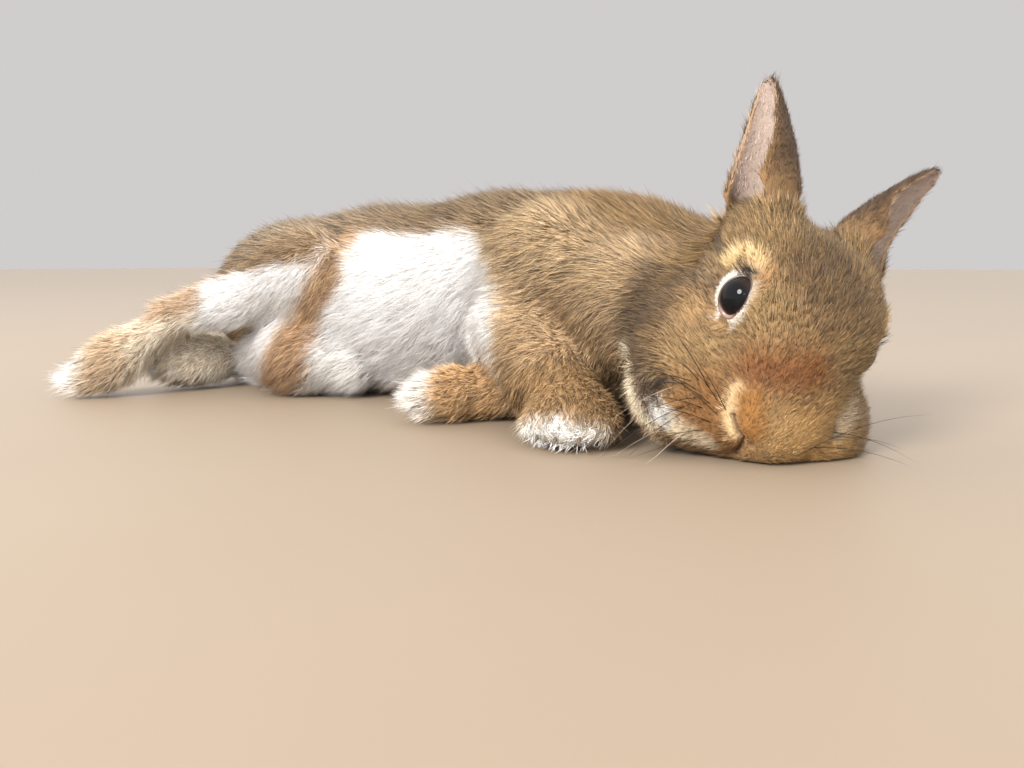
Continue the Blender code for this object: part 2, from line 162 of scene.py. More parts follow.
HEAD_CENTRE = (0.1725, -0.0350, 0.0432)
HEAD_TURN = 75.0                     # degrees from +X towards -Y
HEAD_DIP = 46.0                      # degrees below the level
HEAD_ROLL = 37.0                     # degrees towards the left cheek

EYE_RADIUS = 0.0086
# The middle of each eyeball in the head's axes, right, forward and up: 1 is the right one.
EYE_MIDDLES = {1: (0.0218, -0.0005, 0.0008), -1: (-0.0195, -0.0005, 0.0008)}


def axes_of(forward, side):
    """Three unit columns: forward, the part of side square to it, and their cross product."""
    first = np.array(forward, float)
    first /= np.linalg.norm(first)
    second = np.array(side, float)
    second -= first * (second @ first)
    second /= np.linalg.norm(second)
    return np.stack([first, second, np.cross(first, second)], axis=1)


def head_axes():
    """The head's right, forward and up axes as columns."""
    turn, dip, roll = (math.radians(angle) for angle in (HEAD_TURN, HEAD_DIP, HEAD_ROLL))
    forward = np.array([math.cos(turn) * math.cos(dip), -math.sin(turn) * math.cos(dip), -math.sin(dip)])
    level = np.cross(forward, (0.0, 0.0, 1.0))
    level /= np.linalg.norm(level)
    right = level * math.cos(roll) + np.cross(level, forward) * math.sin(roll)
    return np.stack([right, forward, np.cross(right, forward)], axis=1)


HEAD_AXES = head_axes()


def in_head(point):
    """A place given in the head's axes, in the rabbit's own."""
    return np.array(point, float) @ HEAD_AXES.T + np.array(HEAD_CENTRE)


def from_head(points):
    """Places in the rabbit's own axes, given in the head's."""
    return (points - np.array(HEAD_CENTRE)) @ HEAD_AXES


def ball(centre, radii, forward=(1, 0, 0), side=(0, 1, 0)):
    """An ellipsoid whose first radius lies along forward and whose second lies along side."""
    return ("ball", np.array(centre, float), np.array(radii, float), axes_of(forward, side))


def head_ball(centre, radii):
    return ("ball", in_head(centre), np.array(radii, float), HEAD_AXES)


def head_pair(centre, radii):
    right, forward, up = centre
    return (head_ball((right, forward, up), radii), head_ball((-right, forward, up), radii))


def limb(*stations):
    """Round tapering lengths through (x, y, z, radius) stations."""
    return tuple(
        ("cone", np.array(start[:3], float), start[3], np.array(end[:3], float), end[3])
        for start, end in zip(stations, stations[1:])
    )


def head_limb(*stations):
    return limb(*((*in_head(station[:3]), station[3]) for station in stations))


TRUNK = (
    ball((-0.124, 0.032, 0.0425), (0.052, 0.054, 0.0475)),
    ball((-0.060, 0.033, 0.0455), (0.080, 0.055, 0.0505)),
    ball((0.015, 0.033, 0.0470), (0.075, 0.056, 0.0530)),
    ball((-0.035, 0.012, 0.039), (0.070, 0.044, 0.042)),
    ball((0.066, 0.022, 0.0455), (0.054, 0.052, 0.0510)),
)
NECK = limb((0.095, 0.020, 0.049, 0.038), (0.142, 0.004, 0.050, 0.030))
SHOULDER = (
    ball((0.063, -0.014, 0.052), (0.032, 0.030, 0.039)),
    ball((0.104, -0.021, 0.041), (0.030, 0.028, 0.034)),
)
HEAD = (
    head_ball((0.0, -0.011, -0.003), (0.026, 0.028, 0.025)),
    head_ball((0.0, -0.031, -0.016), (0.028, 0.023, 0.023)),
    *head_pair((0.0135, -0.009, -0.022), (0.022, 0.030, 0.021)),
    head_ball((0.0, 0.014, -0.012), (0.021, 0.022, 0.019)),
    *head_pair((0.0095, 0.025, -0.025), (0.0115, 0.013, 0.0115)),
    head_ball((-0.002, 0.019, -0.031), (0.012, 0.013, 0.007)),
    *head_pair((0.0145, -0.0025, 0.0055), (0.007, 0.012, 0.008)),
    head_ball((0.024, -0.005, -0.034), (0.017, 0.034, 0.020)),
    head_ball((0.012, 0.015, -0.032), (0.018, 0.018, 0.010)),
    head_ball((-0.026, 0.013, -0.021), (0.018, 0.022, 0.015)),
    head_ball((0.026, 0.018, -0.032), (0.015, 0.020, 0.012)),
    head_ball((-0.020, 0.024, -0.024), (0.014, 0.013, 0.013)),
    head_ball((0.0, 0.031, -0.020), (0.008, 0.006, 0.006)),
    *head_limb((0.0, 0.005, 0.0035, 0.015), (0.0, 0.031, -0.015, 0.0075)),
    *head_limb((0.0186, -0.0240, 0.0016, 0.0135), (0.0196, -0.0310, 0.0028, 0.0122)),
    *head_limb((-0.0160, -0.0230, 0.0030, 0.0110), (-0.0175, -0.0300, 0.0042, 0.0088)),
)
EYE_HOLLOW = head_pair((0.0325, 0.001, 0.0), (0.0092, 0.0125, 0.0095))
FORELEG_RIGHT = limb(
    (0.059, -0.030, 0.038, 0.022),
    (0.084, -0.047, 0.022, 0.017),
    (0.098, -0.058, 0.013, 0.015),
)
FOREPAW_RIGHT = (
    ball((0.102, -0.064, 0.009), (0.017, 0.019, 0.011), (0.45, -0.90, -0.05), (1.0, 0.45, 0.0)),
)
FORELEG_LEFT = limb((0.062, -0.015, 0.014, 0.015), (0.049, -0.034, 0.012, 0.013))
FOREPAW_LEFT = (
    ball((0.039, -0.047, 0.0115), (0.023, 0.0115, 0.013), (-0.55, -0.83, -0.05), (1.0, -0.6, 0.0)),
)
THIGH_RIGHT = limb((-0.119, 0.017, 0.045, 0.029), (-0.070, -0.019, 0.057, 0.024))
SHANK_RIGHT = limb((-0.070, -0.019, 0.056, 0.023), (-0.125, -0.060, 0.039, 0.010))
HOCK_RIGHT = limb((-0.126, -0.061, 0.036, 0.010), (-0.141, -0.080, 0.019, 0.011))
HINDFOOT_RIGHT = (
    ball((-0.143, -0.084, 0.016), (0.024, 0.014, 0.011), (-0.45, -0.65, -0.50), (-0.3, -0.3, 1.0)),
)
THIGH_LEFT = limb((-0.125, 0.025, 0.028, 0.030), (-0.072, -0.026, 0.020, 0.020))
SHANK_LEFT = limb((-0.072, -0.026, 0.018, 0.019), (-0.126, -0.012, 0.013, 0.014))
KNEE_LEFT = limb(
    (-0.064, -0.018, 0.046, 0.019),
    (-0.072, -0.025, 0.020, 0.0195),
    (-0.042, -0.018, 0.017, 0.016),
)
HINDFOOT_LEFT = (
    ball((-0.131, -0.040, 0.0145), (0.028, 0.0155, 0.012), (-0.2, -0.97, 0.0), (0.0, 0.0, 1.0)),
)
TAIL = limb((-0.164, 0.044, 0.036, 0.013), (-0.181, 0.055, 0.037, 0.0135), (-0.186, 0.061, 0.044, 0.012))
ALL_FORMS = (
    TRUNK + NECK + SHOULDER + HEAD + TAIL + FORELEG_RIGHT + FOREPAW_RIGHT + FORELEG_LEFT + FOREPAW_LEFT
    + THIGH_RIGHT + SHANK_RIGHT + HOCK_RIGHT + HINDFOOT_RIGHT + THIGH_LEFT + SHANK_LEFT + KNEE_LEFT
    + HINDFOOT_LEFT
)


def distance_to(form, points):
    """How far each point lies outside one form."""
    if form[0] == "ball":
        _, centre, radii, axes = form
        local = (points - centre) @ axes
        level = np.sqrt(((local / radii) ** 2).sum(axis=1)) + 1e-9
        slope = np.sqrt(((local / radii**2) ** 2).sum(axis=1)) + 1e-9
        return level * (level - 1.0) / slope
    _, start, start_radius, end, end_radius = form
    along = end - start
    part = np.clip((points - start) @ along / (along @ along), 0.0, 1.0)
    off = points - start - part[:, None] * along
    return np.sqrt((off**2).sum(axis=1)) - (start_radius + (end_radius - start_radius) * part)


def blend(first, second, width):
    """The union of two distances, with the crease between them filled over a width."""
    share = np.clip(0.5 + 0.5 * (second - first) / width, 0.0, 1.0)
    return second + (first - second) * share - width * share * (1.0 - share)


def group(points, forms, width):
    """The blended distance to several forms."""
    total = distance_to(forms[0], points)
    for form in forms[1:]:
        total = blend(total, distance_to(form, points), width)
    return total


def flesh(points):
    """How far each point lies outside the whole rabbit, without its ears and eyes."""
    head = group(points, HEAD, 0.014)
    for hollow in EYE_HOLLOW:
        head = -blend(-head, distance_to(hollow, points), 0.005)
    body = blend(group(points, TRUNK, 0.016), group(points, NECK, 0.010), 0.018)
    body = blend(body, head, 0.012)
    body = blend(body, group(points, SHOULDER, 0.010), 0.012)
    body = blend(body, group(points, TAIL, 0.010), 0.008)
    thigh_left = blend(group(points, THIGH_LEFT, 0.01), group(points, SHANK_LEFT + KNEE_LEFT, 0.01), 0.010)
    body = blend(body, blend(thigh_left, group(points, HINDFOOT_LEFT, 0.004), 0.004), 0.008)
    leg_right = blend(group(points, THIGH_RIGHT, 0.01), group(points, SHANK_RIGHT, 0.01), 0.012)
    leg_right = blend(leg_right, group(points, HOCK_RIGHT + HINDFOOT_RIGHT, 0.006), 0.006)
    body = blend(body, leg_right, 0.006)
    body = blend(body, group(points, FORELEG_LEFT + FOREPAW_LEFT, 0.006), 0.003)
    return blend(body, group(points, FORELEG_RIGHT + FOREPAW_RIGHT, 0.008), 0.005)


# The lie of the coat: a place, the way the hair runs there, its length and its lift in degrees.
LIE_OF_BODY = (
    ((0.128, 0.030, 0.080), (-1.0, 0.1, -0.1), 0.0110, 27),
    ((0.075, 0.010, 0.092), (-1.0, -0.05, -0.15), 0.0110, 24),
    ((0.070, -0.035, 0.062), (-0.85, -0.15, -0.5), 0.0105, 22),
    ((0.080, -0.045, 0.035), (-0.55, -0.35, -0.75), 0.0095, 22),
    ((0.095, -0.056, 0.022), (0.10, -0.60, -0.78), 0.0080, 24),
    ((0.106, -0.070, 0.014), (0.40, -0.88, -0.25), 0.0070, 22),
    ((0.108, -0.082, 0.005), (0.25, -0.95, 0.00), 0.0100, 34),
    ((0.030, -0.060, 0.010), (-0.60, -0.70, 0.00), 0.0095, 32),
    ((-0.156, -0.096, 0.018), (-0.75, -0.60, 0.05), 0.0135, 30),
    ((0.050, 0.085, 0.045), (-1.0, 0.0, 0.0), 0.0125, 24),
    ((-0.060, 0.088, 0.045), (-1.0, 0.0, 0.0), 0.0135, 24),
    ((0.015, 0.030, 0.097), (-1.0, 0.0, -0.05), 0.0125, 26),
    ((-0.060, 0.030, 0.094), (-1.0, 0.0, -0.05), 0.0130, 26),
    ((-0.125, 0.030, 0.089), (-0.95, -0.1, -0.3), 0.0125, 24),
    ((-0.175, 0.030, 0.060), (-0.6, -0.3, -0.75), 0.0115, 24),
    ((-0.175, 0.010, 0.030), (-0.4, -0.3, -0.8), 0.0120, 26),
    ((-0.030, -0.012, 0.074), (-0.75, -0.30, -0.55), 0.0150, 26),
    ((-0.030, -0.030, 0.045), (-0.80, -0.20, -0.55), 0.0160, 27),
    ((-0.030, -0.030, 0.015), (-0.75, -0.35, -0.45), 0.0160, 24),
    ((0.028, -0.022, 0.045), (-0.60, -0.30, -0.75), 0.0130, 24),
    ((-0.105, 0.000, 0.085), (-0.80, -0.45, -0.35), 0.0115, 22),
    ((-0.090, -0.035, 0.055), (-0.75, -0.50, -0.45), 0.0110, 22),
    ((-0.048, -0.025, 0.060), (-0.50, -0.35, -0.80), 0.0100, 20),
    ((-0.046, -0.005, 0.082), (-0.80, -0.35, -0.40), 0.0110, 22),
    ((-0.112, -0.056, 0.045), (-0.75, -0.55, -0.35), 0.0100, 24),
    ((-0.130, -0.068, 0.036), (-0.50, -0.65, -0.55), 0.0095, 26),
    ((-0.146, -0.088, 0.020), (-0.50, -0.70, -0.50), 0.0090, 26),
    ((-0.060, -0.045, 0.020), (-0.55, -0.40, -0.70), 0.0120, 22),
    ((-0.066, -0.040, 0.040), (-0.55, -0.40, -0.75), 0.0110, 20),
    ((-0.131, -0.055, 0.020), (-0.30, -0.85, -0.40), 0.0095, 26),
    ((-0.190, 0.056, 0.055), (-0.6, 0.3, 0.6), 0.0150, 40),
    ((0.044, -0.042, 0.020), (-0.50, -0.75, -0.40), 0.0080, 24),
    ((0.115, -0.020, 0.062), (-0.90, 0.0, -0.45), 0.0110, 26),
    ((0.115, -0.020, 0.030), (-0.70, -0.30, -0.65), 0.0120, 28),
    ((0.140, 0.040, 0.050), (-0.90, 0.45, -0.1), 0.0110, 24),
    ((0.168, 0.022, 0.035), (-0.50, 0.85, -0.1), 0.0100, 24),
)
# The same on the head, in its own axes, for the right side; the left is its mirror.
LIE_OF_HEAD = (
    ((0.000, 0.040, -0.010), (0.0, -0.55, 0.83), 0.0026, 18),
    ((0.000, 0.028, 0.004), (0.0, -0.80, 0.60), 0.0034, 20),
    ((0.000, 0.006, 0.021), (0.0, -1.00, 0.25), 0.0046, 24),
    ((0.000, -0.020, 0.022), (0.0, -1.00, -0.10), 0.0054, 26),
    ((0.021, -0.004, 0.014), (0.30, -0.90, 0.30), 0.0048, 24),
    ((0.028, -0.016, 0.004), (0.45, -0.90, -0.10), 0.0054, 26),
    ((0.031, 0.008, -0.012), (0.50, -0.80, -0.35), 0.0046, 22),
    ((0.037, -0.006, -0.022), (0.80, -0.40, -0.50), 0.0062, 25),
    ((0.040, 0.006, -0.033), (0.95, -0.20, -0.40), 0.0090, 30),
    ((0.020, 0.033, -0.018), (0.75, -0.60, -0.20), 0.0038, 20),
    ((0.012, 0.041, -0.024), (0.70, -0.30, -0.65), 0.0038, 22),
    ((0.000, 0.025, -0.038), (0.0, -0.80, -0.60), 0.0060, 22),
    ((0.000, -0.050, -0.010), (0.0, -0.85, -0.50), 0.0080, 25),
)
BODY_REACH = 0.021
HEAD_REACH = 0.010
COAT_DEPTH = 0.36                    # share of the hair's length that stands above the skin
LOWEST_SKIN = 0.0006
LID_THICKNESS = 0.0010
SOCKET_DEPTH = 0.0012                # of the skin inside the opening, below the eyeball's surface


def mirrored(place, side):
    return (side * place[0], place[1], place[2])


LIE = [(place, way, length, lift, BODY_REACH) for place, way, length, lift in LIE_OF_BODY] + [
    (in_head(mirrored(place, side)), HEAD_AXES @ np.array(mirrored(way, side)), length, lift, HEAD_REACH)
    for place, way, length, lift in LIE_OF_HEAD
    for side in ((1, -1) if place[0] else (1,))
]


def lie_of_coat(points):
    """The way the hair runs, its length and its lift in degrees, at each point."""
    way_sum = np.zeros((len(points), 3))
    length_sum = np.zeros(len(points))
    lift_sum = np.zeros(len(points))
    total = np.zeros(len(points))
    for place, way, length, lift, reach in LIE:
        near = ((points - np.array(place)) ** 2).sum(axis=1) / reach**2
        weight = 1.0 / (0.02 + near) ** 3
        way_sum += weight[:, None] * np.array(way) / np.linalg.norm(way)
        length_sum += weight * length
        lift_sum += weight * lift
        total += weight
    return way_sum / total[:, None], length_sum / total, lift_sum / total


def eye_place(side):
    return in_head(EYE_MIDDLES[side])


def skin_distance(depth):
    """The distance to the skin, which lies inside the flesh by a depth at each point."""

    def distance(points):
        total = flesh(points) + depth
        for side in (1, -1):
            lid = np.linalg.norm(points - eye_place(side), axis=1) - EYE_RADIUS - LID_THICKNESS
            total = blend(total, lid, 0.004)
        return total

    return distance


SLOPE_STEP = 0.0003


def settle(points):
    """Move points along the slope of the distance towards the skin."""
    depth = lie_of_coat(points)[1] * COAT_DEPTH
    distance = skin_distance(depth)
    slope = np.empty_like(points)
    for axis in range(3):
        move = np.zeros(3)
        move[axis] = SLOPE_STEP
        slope[:, axis] = (distance(points + move) - distance(points - move)) / (2.0 * SLOPE_STEP)
    steepness = np.maximum((slope**2).sum(axis=1), 0.1)
    return points - (distance(points) / steepness)[:, None] * slope


def form_shape(form):
    """One form as a closed bmesh."""
    shape = bmesh.new()
    if form[0] == "ball":
        _, centre, radii, axes = form
        bmesh.ops.create_icosphere(shape, subdivisions=4, radius=1.0)
        turn = Matrix(axes.tolist()).to_4x4() @ Matrix.Diagonal((*radii, 1.0))
        shape.transform(Matrix.Translation(centre) @ turn)
        if np.linalg.det(axes) < 0.0:
            bmesh.ops.reverse_faces(shape, faces=shape.faces[:])
        return shape
    _, start, start_radius, end, end_radius = form
    for place, radius in ((start, start_radius), (end, end_radius)):
        bmesh.ops.create_icosphere(shape, subdivisions=3, radius=radius, matrix=Matrix.Translation(place))
    hull = bmesh.ops.convex_hull(shape, input=shape.verts[:])
    spare = [item for item in hull["geom_interior"] if isinstance(item, bmesh.types.BMVert)]
    bmesh.ops.delete(shape, geom=spare, context="VERTS")
    return shape


def evaluated(source):
    """A bmesh of an object as its modifiers leave it; the object is removed."""
    bpy.context.view_layer.update()
    shape = bmesh.new()
    shape.from_object(source, bpy.context.evaluated_depsgraph_get())
    bpy.data.objects.remove(source, do_unlink=True)
    return shape


def set_in_frame(piece):
    """Move a piece from the rabbit's own layout into the frame's."""
    piece.data.transform(Matrix.Translation(-LAID_OUT))


def coordinates(shape):
    return np.array([tuple(vertex.co) for vertex in shape.verts])


def place_vertices(shape, points):
    """Put each corner of a mesh at its point."""
    for vertex, point in zip(shape.verts, points):
        vertex.co = point


def gather(shapes):
    """One bmesh of several, which are freed."""
    together = bmesh.new()
    for shape in shapes:
        mesh = bpy.data.meshes.new("gathered")
        shape.to_mesh(mesh)
        shape.free()
        together.from_mesh(mesh)
        bpy.data.meshes.remove(mesh)
    return together


def soften(shape, vertices):
    """Draw some of a mesh's corners half way to the middle of their neighbours."""
    every_axis = {"use_axis_x": True, "use_axis_y": True, "use_axis_z": True}
    bmesh.ops.smooth_vert(shape, verts=vertices, factor=0.5, **every_axis)


def settle_skin(shape, rounds):
    """Even out a mesh and lay it on the skin again, several times."""
    for _ in range(rounds):
        soften(shape, shape.verts[:])
        place_vertices(shape, settle(coordinates(shape)))


SKIN_VOXEL = 0.0034
rough_skin = add_object("rough_skin", gather(form_shape(form) for form in ALL_FORMS))
joining = rough_skin.modifiers.new("join", "REMESH")
joining.mode = "VOXEL"
joining.voxel_size = SKIN_VOXEL
skin_form = evaluated(rough_skin)
settle_skin(skin_form, 4)


# The nose: two slits that meet, and the cleft from them down to the mouth, in the head's axes.
NOSE = (0.0080, 0.0395, -0.0145)
NOSE_OUT = np.array((0.50, 0.78, 0.37)) / np.linalg.norm((0.50, 0.78, 0.37))  # the way it faces
NOSE_SLITS = (
    ((0.0137, 0.0351, -0.0134), (0.0106, 0.0372, -0.0147), (0.0075, 0.0388, -0.0157)),
    ((0.0075, 0.0388, -0.0157), (0.0038, 0.0398, -0.0158)),
    ((0.0070, 0.0390, -0.0160), (0.0058, 0.0402, -0.0195), (0.0054, 0.0405, -0.0233)),
)
NOSE_REACH = 0.016
SLIT_DEPTH = 0.0016

# The mesh is made finer on the head, and finer again round the eyes and the nose.
for middle, reach in (
    ((0.0, -0.004, -0.008), 0.052),
    (EYE_MIDDLES[1], 0.019),
    (EYE_MIDDLES[-1], 0.019),
    (NOSE, 0.020),
    (EYE_MIDDLES[1], 0.0125),
    (EYE_MIDDLES[-1], 0.0125),
    (NOSE, 0.012),
):
    near = Vector(in_head(middle))
    edges = [edge for edge in skin_form.edges if all((end.co - near).length < reach for end in edge.verts)]
    bmesh.ops.subdivide_edges(skin_form, edges=edges, cuts=1, use_grid_fill=True)
    bmesh.ops.triangulate(skin_form, faces=[face for face in skin_form.faces if len(face.verts) > 4])
bmesh.ops.triangulate(skin_form, faces=skin_form.faces[:])
settle_skin(skin_form, 2)

# Each eye's opening is a slanting oval on the eyeball, from the corner by the nose to the far one.
EYE_AXIS = np.array((0.81, 0.50, 0.29)) / np.linalg.norm((0.81, 0.50, 0.29))
EYE_SLANT = (0.03, -0.53, 0.85)       # from the near corner to the far one, in the head's axes
EYE_HALF_LENGTH = 0.0071
EYE_HALF_HEIGHT = 0.0049


def eye_axes(side):
    """Out of the eye, along its opening and across it, as columns."""
    mirror = np.array((side, 1.0, 1.0))
    return axes_of(HEAD_AXES @ (EYE_AXIS * mirror), HEAD_AXES @ (np.array(EYE_SLANT) * mirror))


def opening_level(points, side):
    """Below 1 inside the eye's opening and above it outside."""
    local = (points - eye_place(side)) @ eye_axes(side)
    oval = (np.abs(local[:, 1]) / EYE_HALF_LENGTH) ** 1.8 + (np.abs(local[:, 2]) / EYE_HALF_HEIGHT) ** 2.0
    return np.where(local[:, 0] > 0.0, np.sqrt(oval), 9.0)


def polyline_distance(points, line):
    """The distance from each point to a line through several places."""
    found = np.full(len(points), 1.0)
    for start, end in zip(np.array(line), np.array(line)[1:]):
        along = end - start
        part = np.clip((points - start) @ along / (along @ along), 0.0, 1.0)
        found = np.minimum(found, np.linalg.norm(points - start - part[:, None] * along, axis=1))
    return found


def slit_nearness(points, reach=0.0009):
    """1 in the slits of the nose and the mouth, 0 away from them, as seen from before the nose."""
    local = from_head(points)
    flat = local - (local @ NOSE_OUT)[:, None] * NOSE_OUT
    found = np.zeros(len(points))
    for line in NOSE_SLITS:
        flat_line = np.array(line) - (np.array(line) @ NOSE_OUT)[:, None] * NOSE_OUT
        found = np.maximum(found, np.exp(-((polyline_distance(flat, flat_line) / reach) ** 2)))
    return found * (np.linalg.norm(local - np.array(NOSE), axis=1) < NOSE_REACH)


# Folds, creases and swellings of the face: the line each follows, how far it reaches, and its rise.
FOLDS = (
    (((0.0300, -0.0300, -0.0050), (0.0303, -0.0180, -0.0029), (0.0295, -0.0150, 0.0020)), 0.0018, -0.0014),
    (((0.0072, 0.0390, -0.0158), (0.0058, 0.0402, -0.0195), (0.0054, 0.0405, -0.0233)), 0.0030, -0.0014),
    (((0.0137, 0.0351, -0.0134), (0.0075, 0.0388, -0.0157)), 0.0024, -0.0010),
    (((0.0165, 0.0350, -0.0195), (0.0140, 0.0370, -0.0200)), 0.0070, 0.0012),
    (((-0.0020, 0.0390, -0.0110), (-0.0120, 0.0335, -0.0085)), 0.0075, 0.0014),
    (((0.0078, 0.0385, -0.0105), (0.0090, 0.0340, -0.0050)), 0.0045, 0.0016),
    (((-0.0205, 0.0310, -0.0090), (-0.0205, 0.0240, -0.0020)), 0.0030, -0.0018),
    (((0.0350, 0.0020, -0.0125), (0.0320, 0.0085, -0.0105)), 0.0032, -0.0014),
    (((0.0300, -0.0240, -0.0010), (0.0305, -0.0185, -0.0035), (0.0275, -0.0150, 0.0030)), 0.0028, -0.0024),
    *(
        (
            (
                (side * 0.0290, -0.0125, 0.0015),
                (side * 0.0255, -0.0135, 0.0075),
                (side * 0.0225, -0.0090, 0.0125),
                (side * 0.0210, -0.0010, 0.0140),
            ),
            0.0030,
            0.0021,
        )
        for side in (1, -1)
    ),
)

skin_form.normal_update()
points = coordinates(skin_form)
normals = np.array([tuple(vertex.normal) for vertex in skin_form.verts])
rise = -SLIT_DEPTH * slit_nearness(points)
for line, reach, height in FOLDS:
    rise += height * np.exp(-((polyline_distance(from_head(points), line) / reach) ** 2))
points += normals * rise[:, None]
for side in (1, -1):
    middle = eye_place(side)
    away = points - middle
    radius = np.linalg.norm(away, axis=1)
    level = opening_level(points, side)
    inside = np.clip((1.12 - level) / 0.16, 0.0, 1.0)
    close = radius < EYE_RADIUS + 0.006
    wanted = np.where(close, radius + (EYE_RADIUS - SOCKET_DEPTH - radius) * inside, radius)
    points = middle + away * (wanted / radius)[:, None]
points[:, 2] = np.maximum(points[:, 2], LOWEST_SKIN)
place_vertices(skin_form, points)

# The ears: a cupped leaf of gristle, rolled nearly shut at the root.
# Root, tip and the way the opening looks, in the head's axes, and the share of its curl that it keeps.
EARS = {
    "ear_right": ((0.0188, -0.033, 0.0018), (0.0307, -0.0965, 0.0137), (0.89, 0.45, 0.03), 1.0),
    "ear_left": ((-0.016, -0.033, 0.003), (-0.0475, -0.0885, 0.0204), (-0.52, 0.68, 0.52), 0.74),
}
# From root to tip: share of the length, radius of the curl, degrees of the curl to each edge.
EAR_PROFILE = (
    (-0.12, 0.0120, 158.0),
    (0.05, 0.0139, 152.0),
    (0.25, 0.0133, 134.0),
    (0.50, 0.0115, 114.0),
    (0.75, 0.0084, 100.0),
    (0.90, 0.0060, 88.0),
    (0.97, 0.0043, 78.0),
    (1.00, 0.0026, 68.0),
)
EAR_THICKNESS = 0.0013
EAR_INSET = 0.0007                   # from the curl's radius to the middle of the leaf
EAR_REACH = 0.985                    # share of the ear's length that the middle of the leaf reaches
EAR_ROWS = 34
EAR_COLUMNS = 22
JOIN_SMOOTHING = 14                  # rounds of smoothing where the ears grow out of the head


def ear_axes(root, tip, opening):
    """The ear's root, its length, and its along, open and across directions as columns."""
    root, tip = in_head(root), in_head(tip)
    return root, np.linalg.norm(tip - root), axes_of(tip - root, HEAD_AXES @ np.array(opening))


def ear_section(stations, kept):
    """The radius of the leaf's middle and the degrees of its curl at shares of an ear's length."""
    share, radii, curls = np.array(EAR_PROFILE).T
    opened = 1.0 - (1.0 - kept) * np.clip(2.0 * stations, 0.0, 1.0)
    return np.interp(stations, share, radii) - EAR_INSET, np.interp(stations, share, curls) * opened


def ear_shape(root, tip, opening, kept):
    """The leaf of one ear as a closed bmesh."""
    root, length, axes = ear_axes(root, tip, opening)
    along, open_way, across = axes.T
    shape = bmesh.new()
    bmesh.ops.create_grid(shape, x_segments=EAR_COLUMNS, y_segments=EAR_ROWS, size=1.0)
    for vertex in shape.verts:
        station = EAR_PROFILE[0][0] + (1.0 - EAR_PROFILE[0][0]) * (vertex.co.y + 1.0) / 2.0
        radius, curl = ear_section(station, kept)
        angle = math.radians(curl) * vertex.co.x * 0.98
        around = across * math.sin(angle) - open_way * math.cos(angle)
        vertex.co = root + along * (station * length * EAR_REACH) + radius * around
    leaf = add_object("leaf", shape)
    thick = leaf.modifiers.new("thick", "SOLIDIFY")
    thick.thickness = EAR_THICKNESS
    thick.offset = 0.0
    shape = evaluated(leaf)
    bmesh.ops.recalc_face_normals(shape, faces=shape.faces[:])
    bmesh.ops.triangulate(shape, faces=shape.faces[:])
    return shape


skin = add_object("skin", skin_form)
for ear_name, ear_layout in EARS.items():
    guide = add_object("ear_guide", ear_shape(*ear_layout))
    join = skin.modifiers.new(ear_name, "BOOLEAN")
    join.operation = "UNION"
    join.solver = "EXACT"
    join.object = guide
    joined = evaluated(skin)
    bpy.data.objects.remove(guide, do_unlink=True)
    bmesh.ops.triangulate(joined, faces=joined.faces[:])
    skin = add_object("skin", joined)
softened = bmesh.new()
softened.from_mesh(skin.data)
near_root = np.zeros(len(softened.verts), dtype=bool)
join_points = coordinates(softened)
for root, tip, opening, _ in EARS.values():
    root, ear_length, axes = ear_axes(root, tip, opening)
    station = (join_points - root) @ axes[:, 0] / ear_length
    around = np.linalg.norm(join_points - root - axes[:, 0] * 0.10 * ear_length, axis=1)
    near_root |= (np.abs(flesh(join_points)) < 0.0055) & (station < 0.30) & (around < 0.026)
for _ in range(JOIN_SMOOTHING):
    soften(softened, [vertex for vertex, soft in zip(softened.verts, near_root) if soft])
softened.to_mesh(skin.data)
softened.free()
skin.data.shade_smooth()


def smooth_step(values, low, high):
    share = np.clip((values - low) / (high - low), 0.0, 1.0)
    return share * share * (3.0 - 2.0 * share)


def ear_places(points):
    """Where points lie on the ears: the share of the length, the turn from the middle of the back as
    a share of the curl, and whether they are on the inner face, and on an ear at all."""
    along_ear, turn, inner, on_ear = np.zeros((4, len(points)))
    outside = flesh(points) > -0.001
    for root, tip, opening, kept in EARS.values():
        root, length, axes = ear_axes(root, tip, opening)
        local = (points - root) @ axes
        station = local[:, 0] / (length * EAR_REACH)
        out = np.hypot(local[:, 1], local[:, 2])
        angle = np.abs(np.degrees(np.arctan2(local[:, 2], -local[:, 1])))
        radius, curl = ear_section(station, kept)
        here = (station > 0.05) & (station < 1.05) & (angle < curl + 16.0) & outside
        here &= np.abs(out - radius) < 0.0030
        along_ear = np.where(here, station, along_ear)
        turn = np.where(here, angle / curl, turn)
        inner = np.where(here, 1.0 - smooth_step(out - radius, -0.0006, 0.0004), inner)
        on_ear = np.where(here, 1.0, on_ear)
    return along_ear, turn, inner, on_ear


# The coat's pattern, and some painted light and shade, painted one over the other:
# whose axes ("pair" is both sides of the head), the middle or the line followed, the radii or the
# reach from the line, the colour, the share of dark-tipped hairs, and how soft the edge is.
AGOUTI = (0.430, 0.290, 0.160)
AGOUTI_TICKING = 0.38
HEAD_MIDDLE = (0.004, 0.0, -0.012)
HEAD_FADE = (0.050, 0.062)           # how far from it the head's markings begin and end to fade
BELLY_TOP = ((-0.032, -0.022, 0.063), (0.015, -0.022, 0.063))
BELLY_FRONT = ((-0.030, -0.030, 0.026), (0.028, -0.036, 0.046), (0.034, -0.040, 0.034))
HIP_FOLD = (
    (-0.047, -0.010, 0.080), (-0.047, -0.028, 0.062), (-0.052, -0.033, 0.047), (-0.059, -0.039, 0.030),
    (-0.068, -0.042, 0.010),
)
JAW_LINE = (
    (0.0385, 0.0055, -0.0390), (0.0390, 0.0140, -0.0390),
    (0.0370, 0.0272, -0.0357), (0.0325, 0.0333, -0.0350),
)
CHEEK_BAND = (
    (0.0385, -0.0060, -0.0290), (0.0398, 0.0060, -0.0318),
    (0.0383, 0.0189, -0.0293), (0.0345, 0.0288, -0.0297),
)
